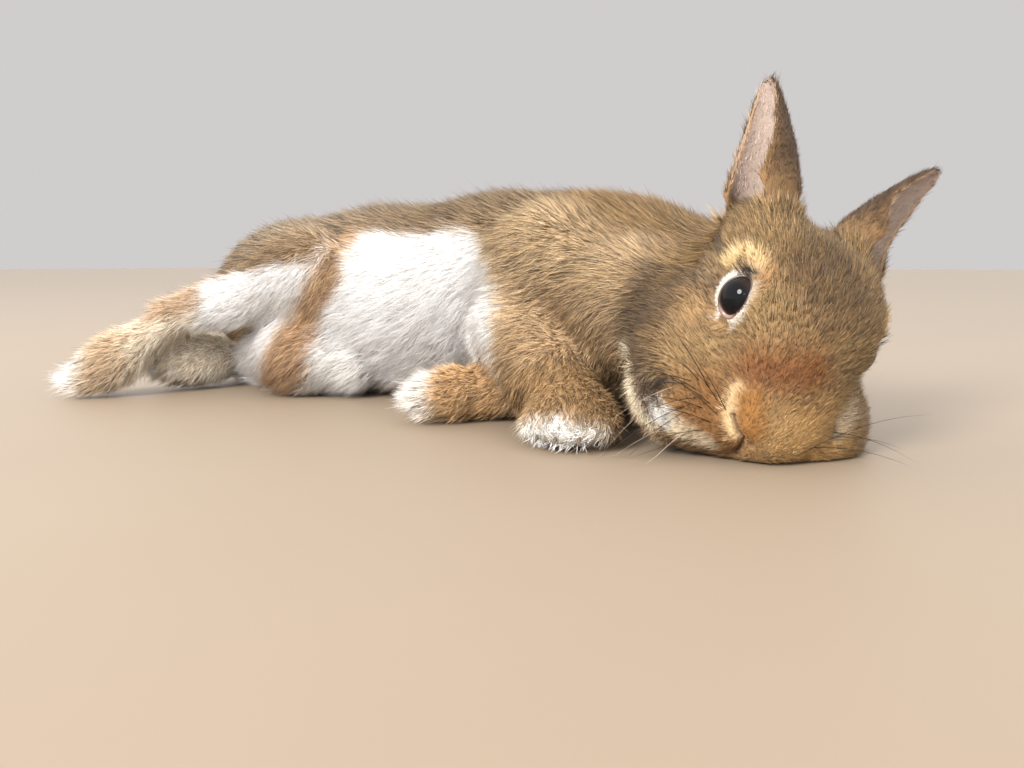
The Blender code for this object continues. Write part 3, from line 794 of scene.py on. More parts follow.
MARKINGS_AND_PAINTED_LIGHT = (
    ("body", (-0.125, 0.050, 0.085), (0.125, 0.075, 0.050), (0.430, 0.330, 0.225), 0.42, 0.35),
    ("body", (0.000, 0.008, 0.100), (0.075, 0.032, 0.020), (0.320, 0.225, 0.130), 0.42, 0.55),
    ("body", (0.066, -0.034, 0.058), (0.050, 0.050, 0.044), (0.580, 0.420, 0.245), 0.34, 0.45),
    # The low shoulder by the foreleg: its brown fur, with painted light making it paler where the head and
    # foreleg shade it.
    ("body", ((0.078, -0.045, 0.030), (0.100, -0.055, 0.024)), 0.022, (0.520, 0.350, 0.190), 0.32, 0.60),
    ("body", (0.105, 0.020, 0.088), (0.045, 0.040, 0.026), (0.340, 0.215, 0.095), 0.36, 0.45),
    ("body", BELLY_TOP, 0.0262, (0.440, 0.310, 0.185), 0.22, 0.14),
    ("body", BELLY_FRONT, 0.037, (0.640, 0.470, 0.300), 0.06, 0.22),
    ("body", BELLY_TOP, 0.024, (0.960, 0.940, 0.925), 0.00, 0.12),
    ("body", BELLY_FRONT, 0.030, (0.960, 0.940, 0.925), 0.00, 0.14),
    ("body", ((-0.059, -0.042, 0.050), (-0.085, -0.048, 0.044), (-0.106, -0.056, 0.036)), 0.018,
     (0.960, 0.940, 0.935), 0.00, 0.18),
    ("body", ((-0.074, -0.036, 0.034), (-0.100, -0.032, 0.014)), 0.026, (0.950, 0.925, 0.910), 0.00, 0.18),
    ("body", ((-0.040, -0.030, 0.016), (-0.046, -0.034, 0.010)), 0.014, (0.900, 0.850, 0.800), 0.00, 0.40),
    ("body", HIP_FOLD, 0.0076, (0.600, 0.400, 0.235), 0.10, 0.55),
    ("body", HIP_FOLD[-2:], 0.0110, (0.520, 0.330, 0.190), 0.12, 0.45),
    ("body", ((-0.120, -0.064, 0.044), (-0.142, -0.082, 0.022)), 0.017, (0.860, 0.730, 0.590), 0.06, 0.30),
    ("body", ((-0.110, -0.058, 0.050), (-0.126, -0.066, 0.044)), 0.008, (0.600, 0.430, 0.290), 0.15, 0.50),
    ("body", ((-0.134, -0.078, 0.028), (-0.150, -0.094, 0.014)), 0.0130, (0.640, 0.470, 0.310), 0.16, 0.35),
    # The left hind foot: its tan fur, with painted light making it paler where the right leg shades it.
    ("body", (-0.131, -0.050, 0.022), (0.026, 0.030, 0.020), (0.950, 0.790, 0.620), 0.05, 0.20),
    # Painted shade on the underside of the left hind foot, by the floor.
    ("body", (-0.128, -0.052, 0.001), (0.022, 0.026, 0.006), (0.200, 0.110, 0.060), 0.10, 0.35),
    ("body", (-0.141, -0.068, 0.015), (0.008, 0.009, 0.012), (0.930, 0.900, 0.860), 0.00, 0.35),
    ("body", (-0.162, -0.103, 0.013), (0.018, 0.020, 0.026), (0.950, 0.930, 0.900), 0.00, 0.35),
    ("body", (0.098, -0.064, 0.018), (0.026, 0.026, 0.014), (0.440, 0.270, 0.120), 0.30, 0.30),
    ("body", (0.104, -0.085, 0.001), (0.034, 0.026, 0.0125), (0.950, 0.910, 0.840), 0.00, 0.28),
    ("body", (0.048, -0.046, 0.014), (0.016, 0.022, 0.016), (0.590, 0.370, 0.180), 0.20, 0.25),
    ("body", (0.026, -0.061, 0.012), (0.012, 0.015, 0.018), (0.740, 0.700, 0.640), 0.00, 0.30),
    ("body", (-0.184, 0.062, 0.040), (0.020, 0.020, 0.020), (0.880, 0.860, 0.840), 0.00, 0.40),
    ("head", (0.000, 0.000, 0.000), (0.060, 0.060, 0.040), (0.400, 0.255, 0.110), 0.36, 0.25),
    ("pair", JAW_LINE, 0.0042, (0.780, 0.660, 0.480), 0.03, 0.50),
    ("pair", CHEEK_BAND, 0.0048, (0.230, 0.155, 0.092), 0.40, 0.55),
    ("pair", ((0.0380, -0.0240, -0.0260), (0.0425, -0.0093, -0.0325), (0.0410, 0.0002, -0.0370)),
     0.0042, (0.260, 0.175, 0.100), 0.42, 0.80),
    # Painted shade in the crease between each ear's root and the cheek.
    ("pair", ((0.0300, -0.0300, -0.0050), (0.0303, -0.0180, -0.0029), (0.0295, -0.0150, 0.0020)), 0.0018,
     (0.100, 0.068, 0.042), 0.30, 0.70),
    ("head", (0.034, -0.006, -0.014), (0.012, 0.014, 0.012), (0.270, 0.180, 0.100), 0.44, 0.55),
    ("head", (0.004, -0.002, 0.022), (0.016, 0.020, 0.012), (0.260, 0.155, 0.065), 0.48, 0.60),
    ("head", (0.016, 0.031, -0.022), (0.017, 0.015, 0.013), (0.300, 0.140, 0.038), 0.28, 0.50),
    ("head", (-0.012, 0.031, -0.010), (0.018, 0.014, 0.012), (0.560, 0.340, 0.130), 0.14, 0.50),
    ("head", ((0.0138, 0.0240, -0.0020), (0.0020, 0.0240, 0.0068)), 0.0076,
     (0.260, 0.098, 0.024), 0.26, 0.95),
    ("head", (0.0345, 0.002, -0.0125), (0.009, 0.009, 0.007), (0.480, 0.300, 0.135), 0.25, 0.70),
    ("head", ((0.0150, 0.0285, -0.0085), (0.0150, 0.0350, -0.0130), (0.0105, 0.0395, -0.0155)), 0.0026,
     (0.780, 0.580, 0.330), 0.02, 0.60),
    ("head", ((0.0120, 0.0330, -0.0065), (0.0085, 0.0385, -0.0105)), 0.0046,
     (0.360, 0.165, 0.036), 0.05, 0.60),
    ("head", ((0.0330, 0.0335, -0.0285), (0.0250, 0.0372, -0.0280), (0.0130, 0.0395, -0.0258)), 0.0034,
     (0.700, 0.570, 0.400), 0.04, 0.60),
    ("head", ((0.0335, 0.0335, -0.0300), (0.0290, 0.0358, -0.0288)), 0.0040,
     (0.960, 0.920, 0.840), 0.00, 0.45),
    ("head", ((0.0370, 0.0243, -0.0264), (0.0340, 0.0272, -0.0230)), 0.0026,
     (0.110, 0.070, 0.045), 0.50, 0.55),
    ("head", ((-0.0215, 0.0270, -0.0090), (-0.0245, 0.0200, -0.0040)), 0.0036,
     (0.620, 0.490, 0.330), 0.12, 0.60),
    ("head", ((-0.0195, 0.0300, -0.0130), (-0.0190, 0.0255, -0.0030)), 0.0016,
     (0.170, 0.105, 0.060), 0.40, 0.60),
    ("pair", ((0.0285, -0.0130, 0.0010), (0.0262, -0.0110, 0.0070), (0.0245, -0.0060, 0.0100)), 0.0040,
     (0.720, 0.520, 0.270), 0.02, 0.50),
    ("pair", (0.0228, -0.0005, 0.0128), (0.0032, 0.0040, 0.0032), (0.430, 0.250, 0.110), 0.10, 0.60),
)
EYE_RING_COLOUR = (0.560, 0.450, 0.320)
EYE_RING_BRIGHT = (0.880, 0.820, 0.730)            # behind the eye and below it
EYE_RING_BRIGHT_WAY = (0.894, 0.215, -0.395)
LID_COLOUR = (0.090, 0.065, 0.058)
# Painted shadow of the brow fold over each eye's far corner, where the lashes grow:
BROW_SHADOW_COLOUR = np.array(LID_COLOUR) * 1.6
# Painted shade in the slits of the nose and the mouth:
SLIT_SHADE_COLOUR = (0.110, 0.050, 0.030)
EAR_BACK_COLOUR = (0.110, 0.055, 0.018)
EAR_RIM_TINT = (0.15, 0.085, 0.030)
EAR_ROOT_TINT = (0.16, 0.10, 0.045)
EAR_TIP_COLOUR = (0.040, 0.032, 0.028)
EAR_INSIDE_COLOUR = (0.540, 0.430, 0.370)
EAR_EDGE_TINT = (0.06, -0.02, -0.11)


def ripple(points, size, seed):
    """A soft uneven field between -1 and 1, with bumps of about a size."""
    rng = np.random.default_rng(seed)
    total = np.zeros(len(points))
    for _ in range(7):
        way = rng.normal(size=3)
        way *= rng.uniform(0.7, 1.5) * 6.283 / (size * np.linalg.norm(way))
        total += np.sin(points @ way + rng.uniform(0.0, 6.283))
    return total / 3.5


def paint(colours, share, wanted):
    """Bring colours nearer to a wanted one by a share at each point."""
    colours += share[:, None] * (np.array(wanted) - colours)


def coat_colours(points):
    """The colour of the coat and the share of dark-tipped hairs at each point of the skin."""
    colour = np.tile(np.array(AGOUTI), (len(points), 1))
    dark = np.full(len(points), AGOUTI_TICKING)
    local = from_head(points)
    either_side = local * np.where(local[:, :1] < 0.0, (-1.0, 1.0, 1.0), 1.0)
    ragged = 0.05 * ripple(points, 0.012, 5) + 0.04 * ripple(points, 0.004, 6)
    head_share = 1.0 - smooth_step(np.linalg.norm(local - np.array(HEAD_MIDDLE), axis=1), *HEAD_FADE)
    for whose, middle, radii, wanted, ticking, softness in MARKINGS_AND_PAINTED_LIGHT:
        place = {"body": points, "head": local, "pair": either_side}[whose]
        if np.ndim(middle) > 1:
            level = polyline_distance(place, middle) / radii + ragged
        else:
            level = np.sqrt((((place - np.array(middle)) / np.array(radii)) ** 2).sum(axis=1)) + ragged
        mask = 1.0 - smooth_step(level, 1.0 - softness, 1.0 + softness)
        if whose != "body":
            mask = mask * head_share
        paint(colour, mask, wanted)
        dark += mask * (ticking - dark)
    from_eye = either_side - from_head(eye_place(1)[None, :])
    behind = smooth_step(from_eye @ np.array(EYE_RING_BRIGHT_WAY), 0.001, 0.005)
    bright, plain = np.array(EYE_RING_BRIGHT), np.array(EYE_RING_COLOUR)
    for side in (1, -1):
        level = opening_level(points, side)
        close = np.linalg.norm(points - eye_place(side), axis=1) < EYE_RADIUS + 0.006
        _, along, across = ((points - eye_place(side)) @ eye_axes(side)).T
        wide = (0.05 + 0.36 * smooth_step(np.abs(across), 0.0010, 0.0046)) * (1.0 + 0.8 * behind)
        ring = (1.0 - smooth_step(level, 1.0 + wide * 0.6, 1.0 + wide * 1.3)) * close
        paint(colour, ring, plain + behind[:, None] * (bright - plain))
        dark *= 1.0 - ring
        paint(colour, (1.0 - smooth_step(level, 1.02, 1.16)) * close, LID_COLOUR)
        # Painted shadow that the fold of the brow casts over the eye's far corner, among the dark lashes.
        brow_shadow = np.exp(-(((along - 0.0082) / 0.0024) ** 2) - ((across - 0.0012) / 0.0030) ** 2) * close
        paint(colour, brow_shadow * 0.85, BROW_SHADOW_COLOUR)
    # The slits of the nose and the mouth are painted dark, as painted shade in the openings.
    slit_shade = 0.85 * slit_nearness(points, 0.0007)
    paint(colour, slit_shade, SLIT_SHADE_COLOUR)
    dark *= 1.0 - slit_shade
    station, turn, inner, on_ear = ear_places(points)
    inner = inner * smooth_step(station, 0.22, 0.34)
    rim = smooth_step(turn, 0.84, 1.0) * (1.0 - smooth_step(station, 0.5, 0.8))
    outer = np.array(EAR_BACK_COLOUR) + rim[:, None] * np.array(EAR_RIM_TINT)
    outer = outer + (1.0 - smooth_step(station, 0.10, 0.40))[:, None] * np.array(EAR_ROOT_TINT)
    back = 1.0 - smooth_step(turn, 0.15, 0.75)
    paint(outer, smooth_step(station + 0.20 * back, 0.88, 0.99), EAR_TIP_COLOUR)
    pale = np.array(EAR_INSIDE_COLOUR) + smooth_step(turn, 0.80, 1.0)[:, None] * np.array(EAR_EDGE_TINT)
    paint(colour, on_ear, outer + inner[:, None] * (pale - outer))
    dark = np.where(on_ear > 0.5, np.where(inner > 0.5, 0.0, 0.35), dark)
    return np.clip(colour, 0.0, 1.0), dark


def read_rows(items, key, width, kind=np.float64):
    """One property of all of a mesh's items, as rows."""
    values = np.empty(len(items) * width, dtype=kind)
    items.foreach_get(key, values)
    return values.reshape(-1, width)


def store_colours(mesh, colours):
    """Keep a colour at each corner of a mesh: the coat's pattern, with its painted light and shade."""
    layer = mesh.color_attributes.new(name="markings_and_painted_light", type="FLOAT_COLOR", domain="POINT")
    opaque = np.concatenate([colours, np.ones((len(colours), 1))], axis=1)
    layer.data.foreach_set("color", opaque.astype(np.float32).ravel())


skin_points = read_rows(skin.data.vertices, "co", 3)
skin_normals = read_rows(skin.data.vertices, "normal", 3)
set_in_frame(skin)
store_colours(skin.data, coat_colours(skin_points)[0])

# The skin between the hairs is darker than the coat: partly the greyer underfur, partly painted shade for the
# shadow among the hairs.
UNDERFUR_AND_PAINTED_SHADE = (0.42, 0.38, 0.34, 1.0)
skin_finish, skin_tree, skin_shader = new_finish("skin_underfur_and_painted_shade", Roughness=0.85)
skin_place = skin_tree.node("ShaderNodeTexCoord", output=3)
painted = skin_tree.node("ShaderNodeAttribute", {"attribute_name": "markings_and_painted_light"})
fuzz = skin_tree.node("ShaderNodeTexNoise", inputs={"Vector": skin_place, "Scale": 1500.0, "Detail": 3.0})
shaded = skin_tree.node(
    "ShaderNodeMix", {"data_type": "RGBA", "blend_type": "MULTIPLY"},
    {0: 1.0, 6: painted, 7: UNDERFUR_AND_PAINTED_SHADE}, output=2,
)
feed(skin_shader, "Base Color", (fuzz * 0.5).mix(shaded, painted))
roughened = skin_tree.node("ShaderNodeBump", inputs={"Strength": 0.35, "Distance": 0.0005, "Height": fuzz})
feed(skin_shader, "Normal", roughened)
skin.data.materials.append(skin_finish)

# An unwrap of the skin's own shape, to carry its colours.
bpy.context.view_layer.objects.active = skin
skin.select_set(True)
skin.data.uv_layers.new(name="OFBake")
bpy.ops.object.mode_set(mode="EDIT")
bpy.ops.mesh.select_all(action="SELECT")
bpy.ops.uv.smart_project(angle_limit=math.radians(66.0), island_margin=0.002)
bpy.ops.object.mode_set(mode="OBJECT")
skin.select_set(False)

FLESH_NODES = [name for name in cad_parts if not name.startswith("eye")]
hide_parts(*FLESH_NODES)
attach(skin, "root")

# ---------------------------------------------------------------- the eyes
# Two glossy eyeballs, very dark brown and nearly all pupil, each with a low clear bulge in
# front.  They sit in their sockets behind the lids.

EYE_BULGE = 0.0006


def finish_eye_piece(piece, side, attribute, tone_of, finish):
    """Smooth a piece of the eye, keep the tone at its corners, and set it in the frame."""
    piece.data.shade_smooth()
    local = ((np.array(vertex.co) - eye_place(side)) @ eye_axes(side) for vertex in piece.data.vertices)
    tones = [float(tone_of(*place)) for place in local]
    piece.data.attributes.new(attribute, "FLOAT", "POINT").data.foreach_set("value", tones)
    piece.data.materials.append(finish)
    set_in_frame(piece)


def iris_tone(_, along, across):
    """0 on the pupil and 1 on the ring of iris round it."""
    return smooth_step(math.hypot(along, across), 0.0040, 0.0062)


def eye_shape(side):
    """A ball with a low bulge on the side that looks out."""
    shape = bmesh.new()
    bmesh.ops.create_uvsphere(shape, u_segments=48, v_segments=32, radius=EYE_RADIUS)
    axes = eye_axes(side)
    turn = Matrix(np.stack([axes[:, 1], axes[:, 2], axes[:, 0]], axis=1).tolist()).to_4x4()
    if turn.determinant() < 0.0:
        turn = turn @ Matrix.Diagonal((-1.0, 1.0, 1.0, 1.0))
    for vertex in shape.verts:
        facing = vertex.co.z / EYE_RADIUS
        vertex.co *= 1.0 + EYE_BULGE / EYE_RADIUS * smooth_step(facing, 0.55, 1.0)
    shape.transform(Matrix.Translation(eye_place(side)) @ turn)
    return shape


eye_finish, eye_tree, eye_shader = new_finish("wet_eye", Roughness=0.05, IOR=1.376, Specular_IOR_Level=0.22)
eye_tone = eye_tree.node("ShaderNodeAttribute", {"attribute_name": "iris"}, output=2)
feed(eye_shader, "Base Color", eye_tone.mix((0.004, 0.004, 0.005, 1.0), (0.022, 0.012, 0.008, 1.0)))
for side, name in ((1, "eye_right"), (-1, "eye_left")):
    eye = add_object(name + "_glossy", eye_shape(side))
    finish_eye_piece(eye, side, "iris", iris_tone, eye_finish)
    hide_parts(name)
    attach(eye, "root")

# ---------------------------------------------------------------- the rims of the lids
# A thin dark moist edge of bare skin all round each eye's opening, a little thicker at the
# corner by the nose, where it is pinkish grey.

RIM_STEPS = 72
RIM_ROUND = 8
RIM_RADIUS = 0.00055
RIM_LIFT = 0.0003                    # of the tube's middle off the eyeball
RIM_TRIAL = 0.0055                   # a reach from the eye's middle at which the outline is measured
RIM_SPREAD = 1.03                    # of the opening's own outline


def rim_shape(side):
    """A ring of soft tube that lies on the eyeball along the edge of the opening."""
    shape = bmesh.new()
    bmesh.ops.create_grid(shape, x_segments=RIM_STEPS, y_segments=RIM_ROUND, size=1.0)
    axes = eye_axes(side)
    ball_radius = EYE_RADIUS + RIM_LIFT
    for vertex in shape.verts:
        turn = math.pi * (vertex.co.x + 1.0)
        around = math.pi * (vertex.co.y + 1.0) * -side
        along, across = math.cos(turn), math.sin(turn)
        long_part = (abs(along) * RIM_TRIAL / EYE_HALF_LENGTH) ** 1.8
        high_part = (abs(across) * RIM_TRIAL / EYE_HALF_HEIGHT) ** 2
        reach = RIM_TRIAL / math.sqrt(long_part + high_part) * RIM_SPREAD
        thickness = RIM_RADIUS * (1.0 + 0.7 * smooth_step(-along, 0.7, 1.0))
        flat = np.array((0.0, along, across))
        out = np.array((math.sqrt(ball_radius**2 - reach**2), reach * along, reach * across)) / ball_radius
        wide = flat - out * (out @ flat)
        wide /= np.linalg.norm(wide)
        local = out * ball_radius + thickness * (wide * math.cos(around) + out * math.sin(around))
        vertex.co = eye_place(side) + axes @ local
    bmesh.ops.remove_doubles(shape, verts=shape.verts[:], dist=0.00001)
    bmesh.ops.recalc_face_normals(shape, faces=shape.faces[:])
    return shape


def corner_tone(_, along, across):
    """0 along the lids and 1 at the corner by the nose."""
    return smooth_step(-along, 0.0045, 0.0066)


rim_finish, rim_tree, rim_shader = new_finish("lid_edge", Roughness=0.35, Coat_Weight=0.4, Coat_Roughness=0.2)
rim_tone = rim_tree.node("ShaderNodeAttribute", {"attribute_name": "corner"}, output=2)
feed(rim_shader, "Base Color", rim_tone.mix((0.045, 0.028, 0.022, 1.0), (0.26, 0.17, 0.14, 1.0)))
for side, name in ((1, "lid_rim_right"), (-1, "lid_rim_left")):
    rim = add_object(name, rim_shape(side))
    finish_eye_piece(rim, side, "corner", corner_tone, rim_finish)
    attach(rim, "root")

# ---------------------------------------------------------------- the claws
# Short curved claws of dark brown horn at the ends of the toes, mostly hidden by the fur.

# Each claw: its root, the way it points, and its length.
CLAWS = (
    ((0.0270, -0.0610, 0.0130), (-0.55, -0.80, -0.30), 0.0060),
    ((0.0330, -0.0640, 0.0090), (-0.40, -0.90, -0.30), 0.0060),
    ((0.1060, -0.0815, 0.0060), (0.35, -0.90, -0.25), 0.0034),
    ((0.1130, -0.0778, 0.0060), (0.50, -0.80, -0.25), 0.0034),
    ((0.0990, -0.0815, 0.0060), (0.20, -0.95, -0.25), 0.0034),
    ((-0.1545, -0.0960, 0.0130), (-0.60, -0.70, -0.35), 0.0070),
    ((-0.1510, -0.0980, 0.0070), (-0.45, -0.80, -0.30), 0.0070),
    ((-0.1490, -0.0950, 0.0180), (-0.70, -0.65, -0.20), 0.0065),
    ((-0.1330, -0.0645, 0.0210), (-0.35, -0.90, -0.30), 0.0065),
    ((-0.1370, -0.0635, 0.0150), (-0.35, -0.90, -0.30), 0.0065),
    ((-0.1290, -0.0645, 0.0250), (-0.35, -0.90, -0.25), 0.0060),
)
CLAW_RADIUS = 0.0010
CLAW_TIP_RADIUS = 0.00010
CLAW_DROOP = 0.22                    # of the tip, as a share of the length
CLAW_SIDE = 0.75                     # the width as a share of the height


def cut_across(shape, heights):
    """Cut a shape level at several heights."""
    for height in heights:
        whole = shape.verts[:] + shape.edges[:] + shape.faces[:]
        bmesh.ops.bisect_plane(shape, geom=whole, plane_co=(0, 0, height), plane_no=(0, 0, 1))


def claw_shape(root, way, length):
    """A cone that droops towards its tip."""
    shape = bmesh.new()
    bmesh.ops.create_cone(
        shape, cap_ends=True, segments=10, radius1=CLAW_RADIUS, radius2=CLAW_TIP_RADIUS, depth=length,
        matrix=Matrix.Translation((0.0, 0.0, length / 2.0)),
    )
    cut_across(shape, [share * length for share in (0.2, 0.4, 0.6, 0.8)])
    axes = axes_of(way, (0.0, 0.0, -1.0))
    for vertex in shape.verts:
        share = vertex.co.z / length
        droop = CLAW_DROOP * length * share * share
        local = np.array((vertex.co.z, vertex.co.y + droop, vertex.co.x * CLAW_SIDE))
        vertex.co = np.array(root) + axes @ local
        vertex.co.z = max(vertex.co.z, LOWEST_SKIN)
    bmesh.ops.recalc_face_normals(shape, faces=shape.faces[:])
    return shape


claws = add_object("claws", gather(claw_shape(*claw) for claw in CLAWS))
claws.data.shade_smooth()
horn, horn_tree, horn_shader = new_finish("horn", Roughness=0.35)
horn_place = horn_tree.node("ShaderNodeTexCoord", output=3)
streak = horn_tree.node("ShaderNodeTexNoise", inputs={"Vector": horn_place, "Scale": 700.0})
feed(horn_shader, "Base Color", streak.mix((0.050, 0.032, 0.022, 1.0), (0.16, 0.105, 0.070, 1.0)))
claws.data.materials.append(horn)
set_in_frame(claws)
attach(claws, "root")

# ---------------------------------------------------------------- the coat
# Fur over the whole skin: small tufts of fine tapering hairs that lie along the body and
# overlap.  Short and close on the face, ears and feet, long and loose on the belly and tail.

# Each piece: tufts to the square centimetre, hairs in a tuft, a hair's width, how far the tips
# draw together, and how uneven the lie is in degrees.
COATS = {
    "face": (98.0, 5, 0.00025, 0.20, 8.0),
    "ears": (60.0, 5, 0.00026, 0.20, 8.0),
    "shoulder": (52.0, 5, 0.00030, 0.25, 9.0),
    "back": (40.0, 5, 0.00033, 0.25, 9.0),
    "belly": (52.0, 5, 0.00028, 0.25, 12.0),
    "rump": (40.0, 5, 0.00033, 0.30, 10.0),
    "leg": (56.0, 5, 0.00028, 0.25, 10.0),
    "feet": (58.0, 5, 0.00027, 0.30, 12.0),
    "far_side": (22.0, 6, 0.00042, 0.30, 11.0),
    "underside": (8.0, 7, 0.00050, 0.40, 14.0),
}
PIECE_TRIANGLES = 195000             # the most that one piece of coat may hold
ROOT_SINK = 0.08                     # of the hair's length
PATCH = 0.003                        # how much of the unwrap one tuft takes
LOW_HAIR = 0.0004                    # no hair reaches lower than this above the floor
OFF_AXIS = (0.31, 0.17, 0.93)        # a way that no hair runs, to turn its sides from
MIDDLE_SWELL = 1.25                  # of a hair's width above its root
TUFT_SPREAD = 1.25                   # how far a tuft's roots reach over the room it has


def prototype(cuts):
    """A closed three-sided spike of unit radius and height, cut across at some heights: its
    corners and its triangles."""
    shape = bmesh.new()
    bmesh.ops.create_cone(
        shape, cap_ends=True, segments=3, radius1=1.0, radius2=0.0, depth=1.0,
        matrix=Matrix.Translation((0.0, 0.0, 0.5)),
    )
    bmesh.ops.remove_doubles(shape, verts=shape.verts[:], dist=0.0001)
    cut_across(shape, cuts)
    bmesh.ops.triangulate(shape, faces=shape.faces[:])
    bmesh.ops.recalc_face_normals(shape, faces=shape.faces[:])
    corners = coordinates(shape)
    triangles = np.array([[vertex.index for vertex in face.verts] for face in shape.faces])
    shape.free()
    return corners, triangles


SPIKE = prototype(())


def add_hairs(name, kind, roots, knees, tips, widths, root_colours, tip_colours, patches, finish):
    """One mesh of many hairs.  Each runs from its root towards its knee and on to its tip."""
    corners, triangles = kind
    count = len(roots)
    height = corners[:, 2]
    rise = height[None, :, None]
    middle = roots[:, None] * (1.0 - rise) ** 2 + knees[:, None] * 2.0 * rise * (1.0 - rise)
    middle = middle + tips[:, None] * rise**2
    way = tips - roots
    way /= np.linalg.norm(way, axis=1)[:, None] + 1e-12
    level = np.cross(way, OFF_AXIS)
    level /= np.linalg.norm(level, axis=1)[:, None] + 1e-12
    other = np.cross(way, level)
    round_part = level[:, None] * corners[None, :, 0, None] + other[:, None] * corners[None, :, 1, None]
    round_part = round_part * (widths[:, None, None] * 0.5)
    swell = np.where(height > 0.01, MIDDLE_SWELL, 1.0)[None, :, None]
    points = middle + round_part * swell
    points[:, :, 2] = np.maximum(points[:, :, 2], LOW_HAIR)
    points -= np.array(LAID_OUT)
    mesh = bpy.data.meshes.new(name)
    mesh.vertices.add(count * len(corners))
    mesh.vertices.foreach_set("co", points.astype(np.float32).ravel())
    faces = (triangles[None] + (np.arange(count) * len(corners))[:, None, None]).reshape(-1)
    mesh.loops.add(len(faces))
    mesh.loops.foreach_set("vertex_index", faces.astype(np.int32))
    mesh.polygons.add(len(faces) // 3)
    mesh.polygons.foreach_set("loop_start", np.arange(0, len(faces), 3, dtype=np.int32))
    mesh.update(calc_edges=True)
    mesh.shade_smooth()
    share = rise**0.8
    colours = root_colours[:, None] * (1.0 - share) + tip_colours[:, None] * share
    store_colours(mesh, np.clip(colours, 0.0, 0.98).reshape(-1, 3))
    unwrap = np.stack([corners[:, 0] * 0.5, height - 0.5], axis=1) * PATCH
    places = (patches[:, None] + unwrap[None]).reshape(-1, 2)
    mesh.uv_layers.new(name="OFBake").data.foreach_set("uv", places[faces].astype(np.float32).ravel())
    made = bpy.data.objects.new(name, mesh)
    bpy.context.collection.objects.link(made)
    mesh.materials.append(finish)
    return made


fur, fur_tree, fur_shader = new_finish("fur", Roughness=0.62, Specular_IOR_Level=0.35)
feed(fur_shader, "Base Color", fur_tree.node("ShaderNodeAttribute", {"attribute_name": "markings_and_painted_light"}))

skin.data.calc_loop_triangles()
corner_list = read_rows(skin.data.loop_triangles, "vertices", 3, np.int32)
loop_list = read_rows(skin.data.loop_triangles, "loops", 3, np.int32)
triangle_count = len(corner_list)
triangle_patches = read_rows(skin.data.uv_layers["OFBake"].data, "uv", 2, np.float32)[loop_list]
triangle_points = skin_points[corner_list]
first_edges = triangle_points[:, 1] - triangle_points[:, 0]
second_edges = triangle_points[:, 2] - triangle_points[:, 0]
triangle_areas = 0.5 * np.linalg.norm(np.cross(first_edges, second_edges), axis=1)
triangle_middles = triangle_points.mean(axis=1)


FACE_MIDDLE = (0.004, -0.003, -0.012)
FACE_REACH = 0.056
FEET_BOXES = (                       # opposite corners
    ((0.080, -0.095, 0.0), (0.130, -0.055, 0.030)),
    ((0.015, -0.080, 0.0), (0.064, -0.034, 0.030)),
    ((-0.180, -0.120, 0.0), (-0.130, -0.070, 0.040)),
    ((-0.158, -0.080, 0.0), (-0.100, -0.030, 0.036)),
    ((-0.220, 0.040, 0.030), (-0.172, 0.080, 0.090)),
)


def within(points, low, high):
    """Which points lie in a box."""
    return ((points > np.array(low)) & (points < np.array(high))).all(axis=1)


def coat_regions(points):
    """The name of the coat piece that grows at each point."""
    on_ear = ear_places(points)[3] > 0.5
    face = np.linalg.norm(from_head(points) - np.array(FACE_MIDDLE), axis=1) < FACE_REACH
    feet = np.any([within(points, *box) for box in FEET_BOXES], axis=0)
    x, y, z = points.T
    conditions = (
        on_ear,
        face,
        z < 0.0065,
        feet,
        (x < -0.050) & (y < -0.024) & (z < 0.088) & (z > 0.036),
        (x < 0.048) & (x > -0.105) & (y < -0.004),
        y > 0.055,
        (x > 0.045) & (y < 0.030),
        x < -0.110,
    )
    names = ("ears", "face", "underside", "feet", "leg", "belly", "far_side", "shoulder", "rump")
    return np.select(conditions, names, default="back")


EAR_HAIR = 0.0034
EAR_EDGE_HAIR = 0.0050
EAR_LIFT = 17.0                      # degrees
INSIDE_EAR_LIFT = 8.0                # degrees
SLIT_SHORTENING = 0.70
EYE_SHORTENING = 0.78


def lie_at(points, normals):
    """The tangent way of the coat, its length and its lift in degrees at points of the skin."""
    way, length, lift = lie_of_coat(points)
    _, turn, inner, on_ear = ear_places(points)
    for root, ear_tip, opening, _ in EARS.values():
        root, ear_length, axes = ear_axes(root, ear_tip, opening)
        from_middle = np.linalg.norm(points - root - axes[:, 0] * ear_length * 0.55, axis=1)
        near = (from_middle < ear_length * 0.75) & (on_ear > 0.5)
        way = np.where(near[:, None], axes[:, 0], way)
    ear_length = EAR_HAIR + (EAR_EDGE_HAIR - EAR_HAIR) * smooth_step(turn, 0.85, 1.0)
    length = np.where(on_ear > 0.5, ear_length, length)
    lift = np.where(on_ear > 0.5, EAR_LIFT + (INSIDE_EAR_LIFT - EAR_LIFT) * inner, lift)
    length = length * (1.0 - SLIT_SHORTENING * slit_nearness(points, 0.0024))
    for side in (1, -1):
        level = opening_level(points, side)
        close = np.linalg.norm(points - eye_place(side), axis=1) < EYE_RADIUS + 0.008
        out = points - eye_place(side)
        axis = eye_axes(side)[:, 0]
        out = out - (out @ axis)[:, None] * axis
        out /= np.linalg.norm(out, axis=1)[:, None] + 1e-9
        pull = np.where(close, 1.0 - smooth_step(level, 1.2, 2.3), 0.0)
        way = way / (np.linalg.norm(way, axis=1)[:, None] + 1e-9)
        way = way + pull[:, None] * (out * 1.6 - way * 0.6)
        length = length * (1.0 - EYE_SHORTENING * np.where(close, 1.0 - smooth_step(level, 1.1, 2.2), 0.0))
    way = way - (way * normals).sum(axis=1)[:, None] * normals
    way /= np.linalg.norm(way, axis=1)[:, None] + 1e-9
    return way, length, lift


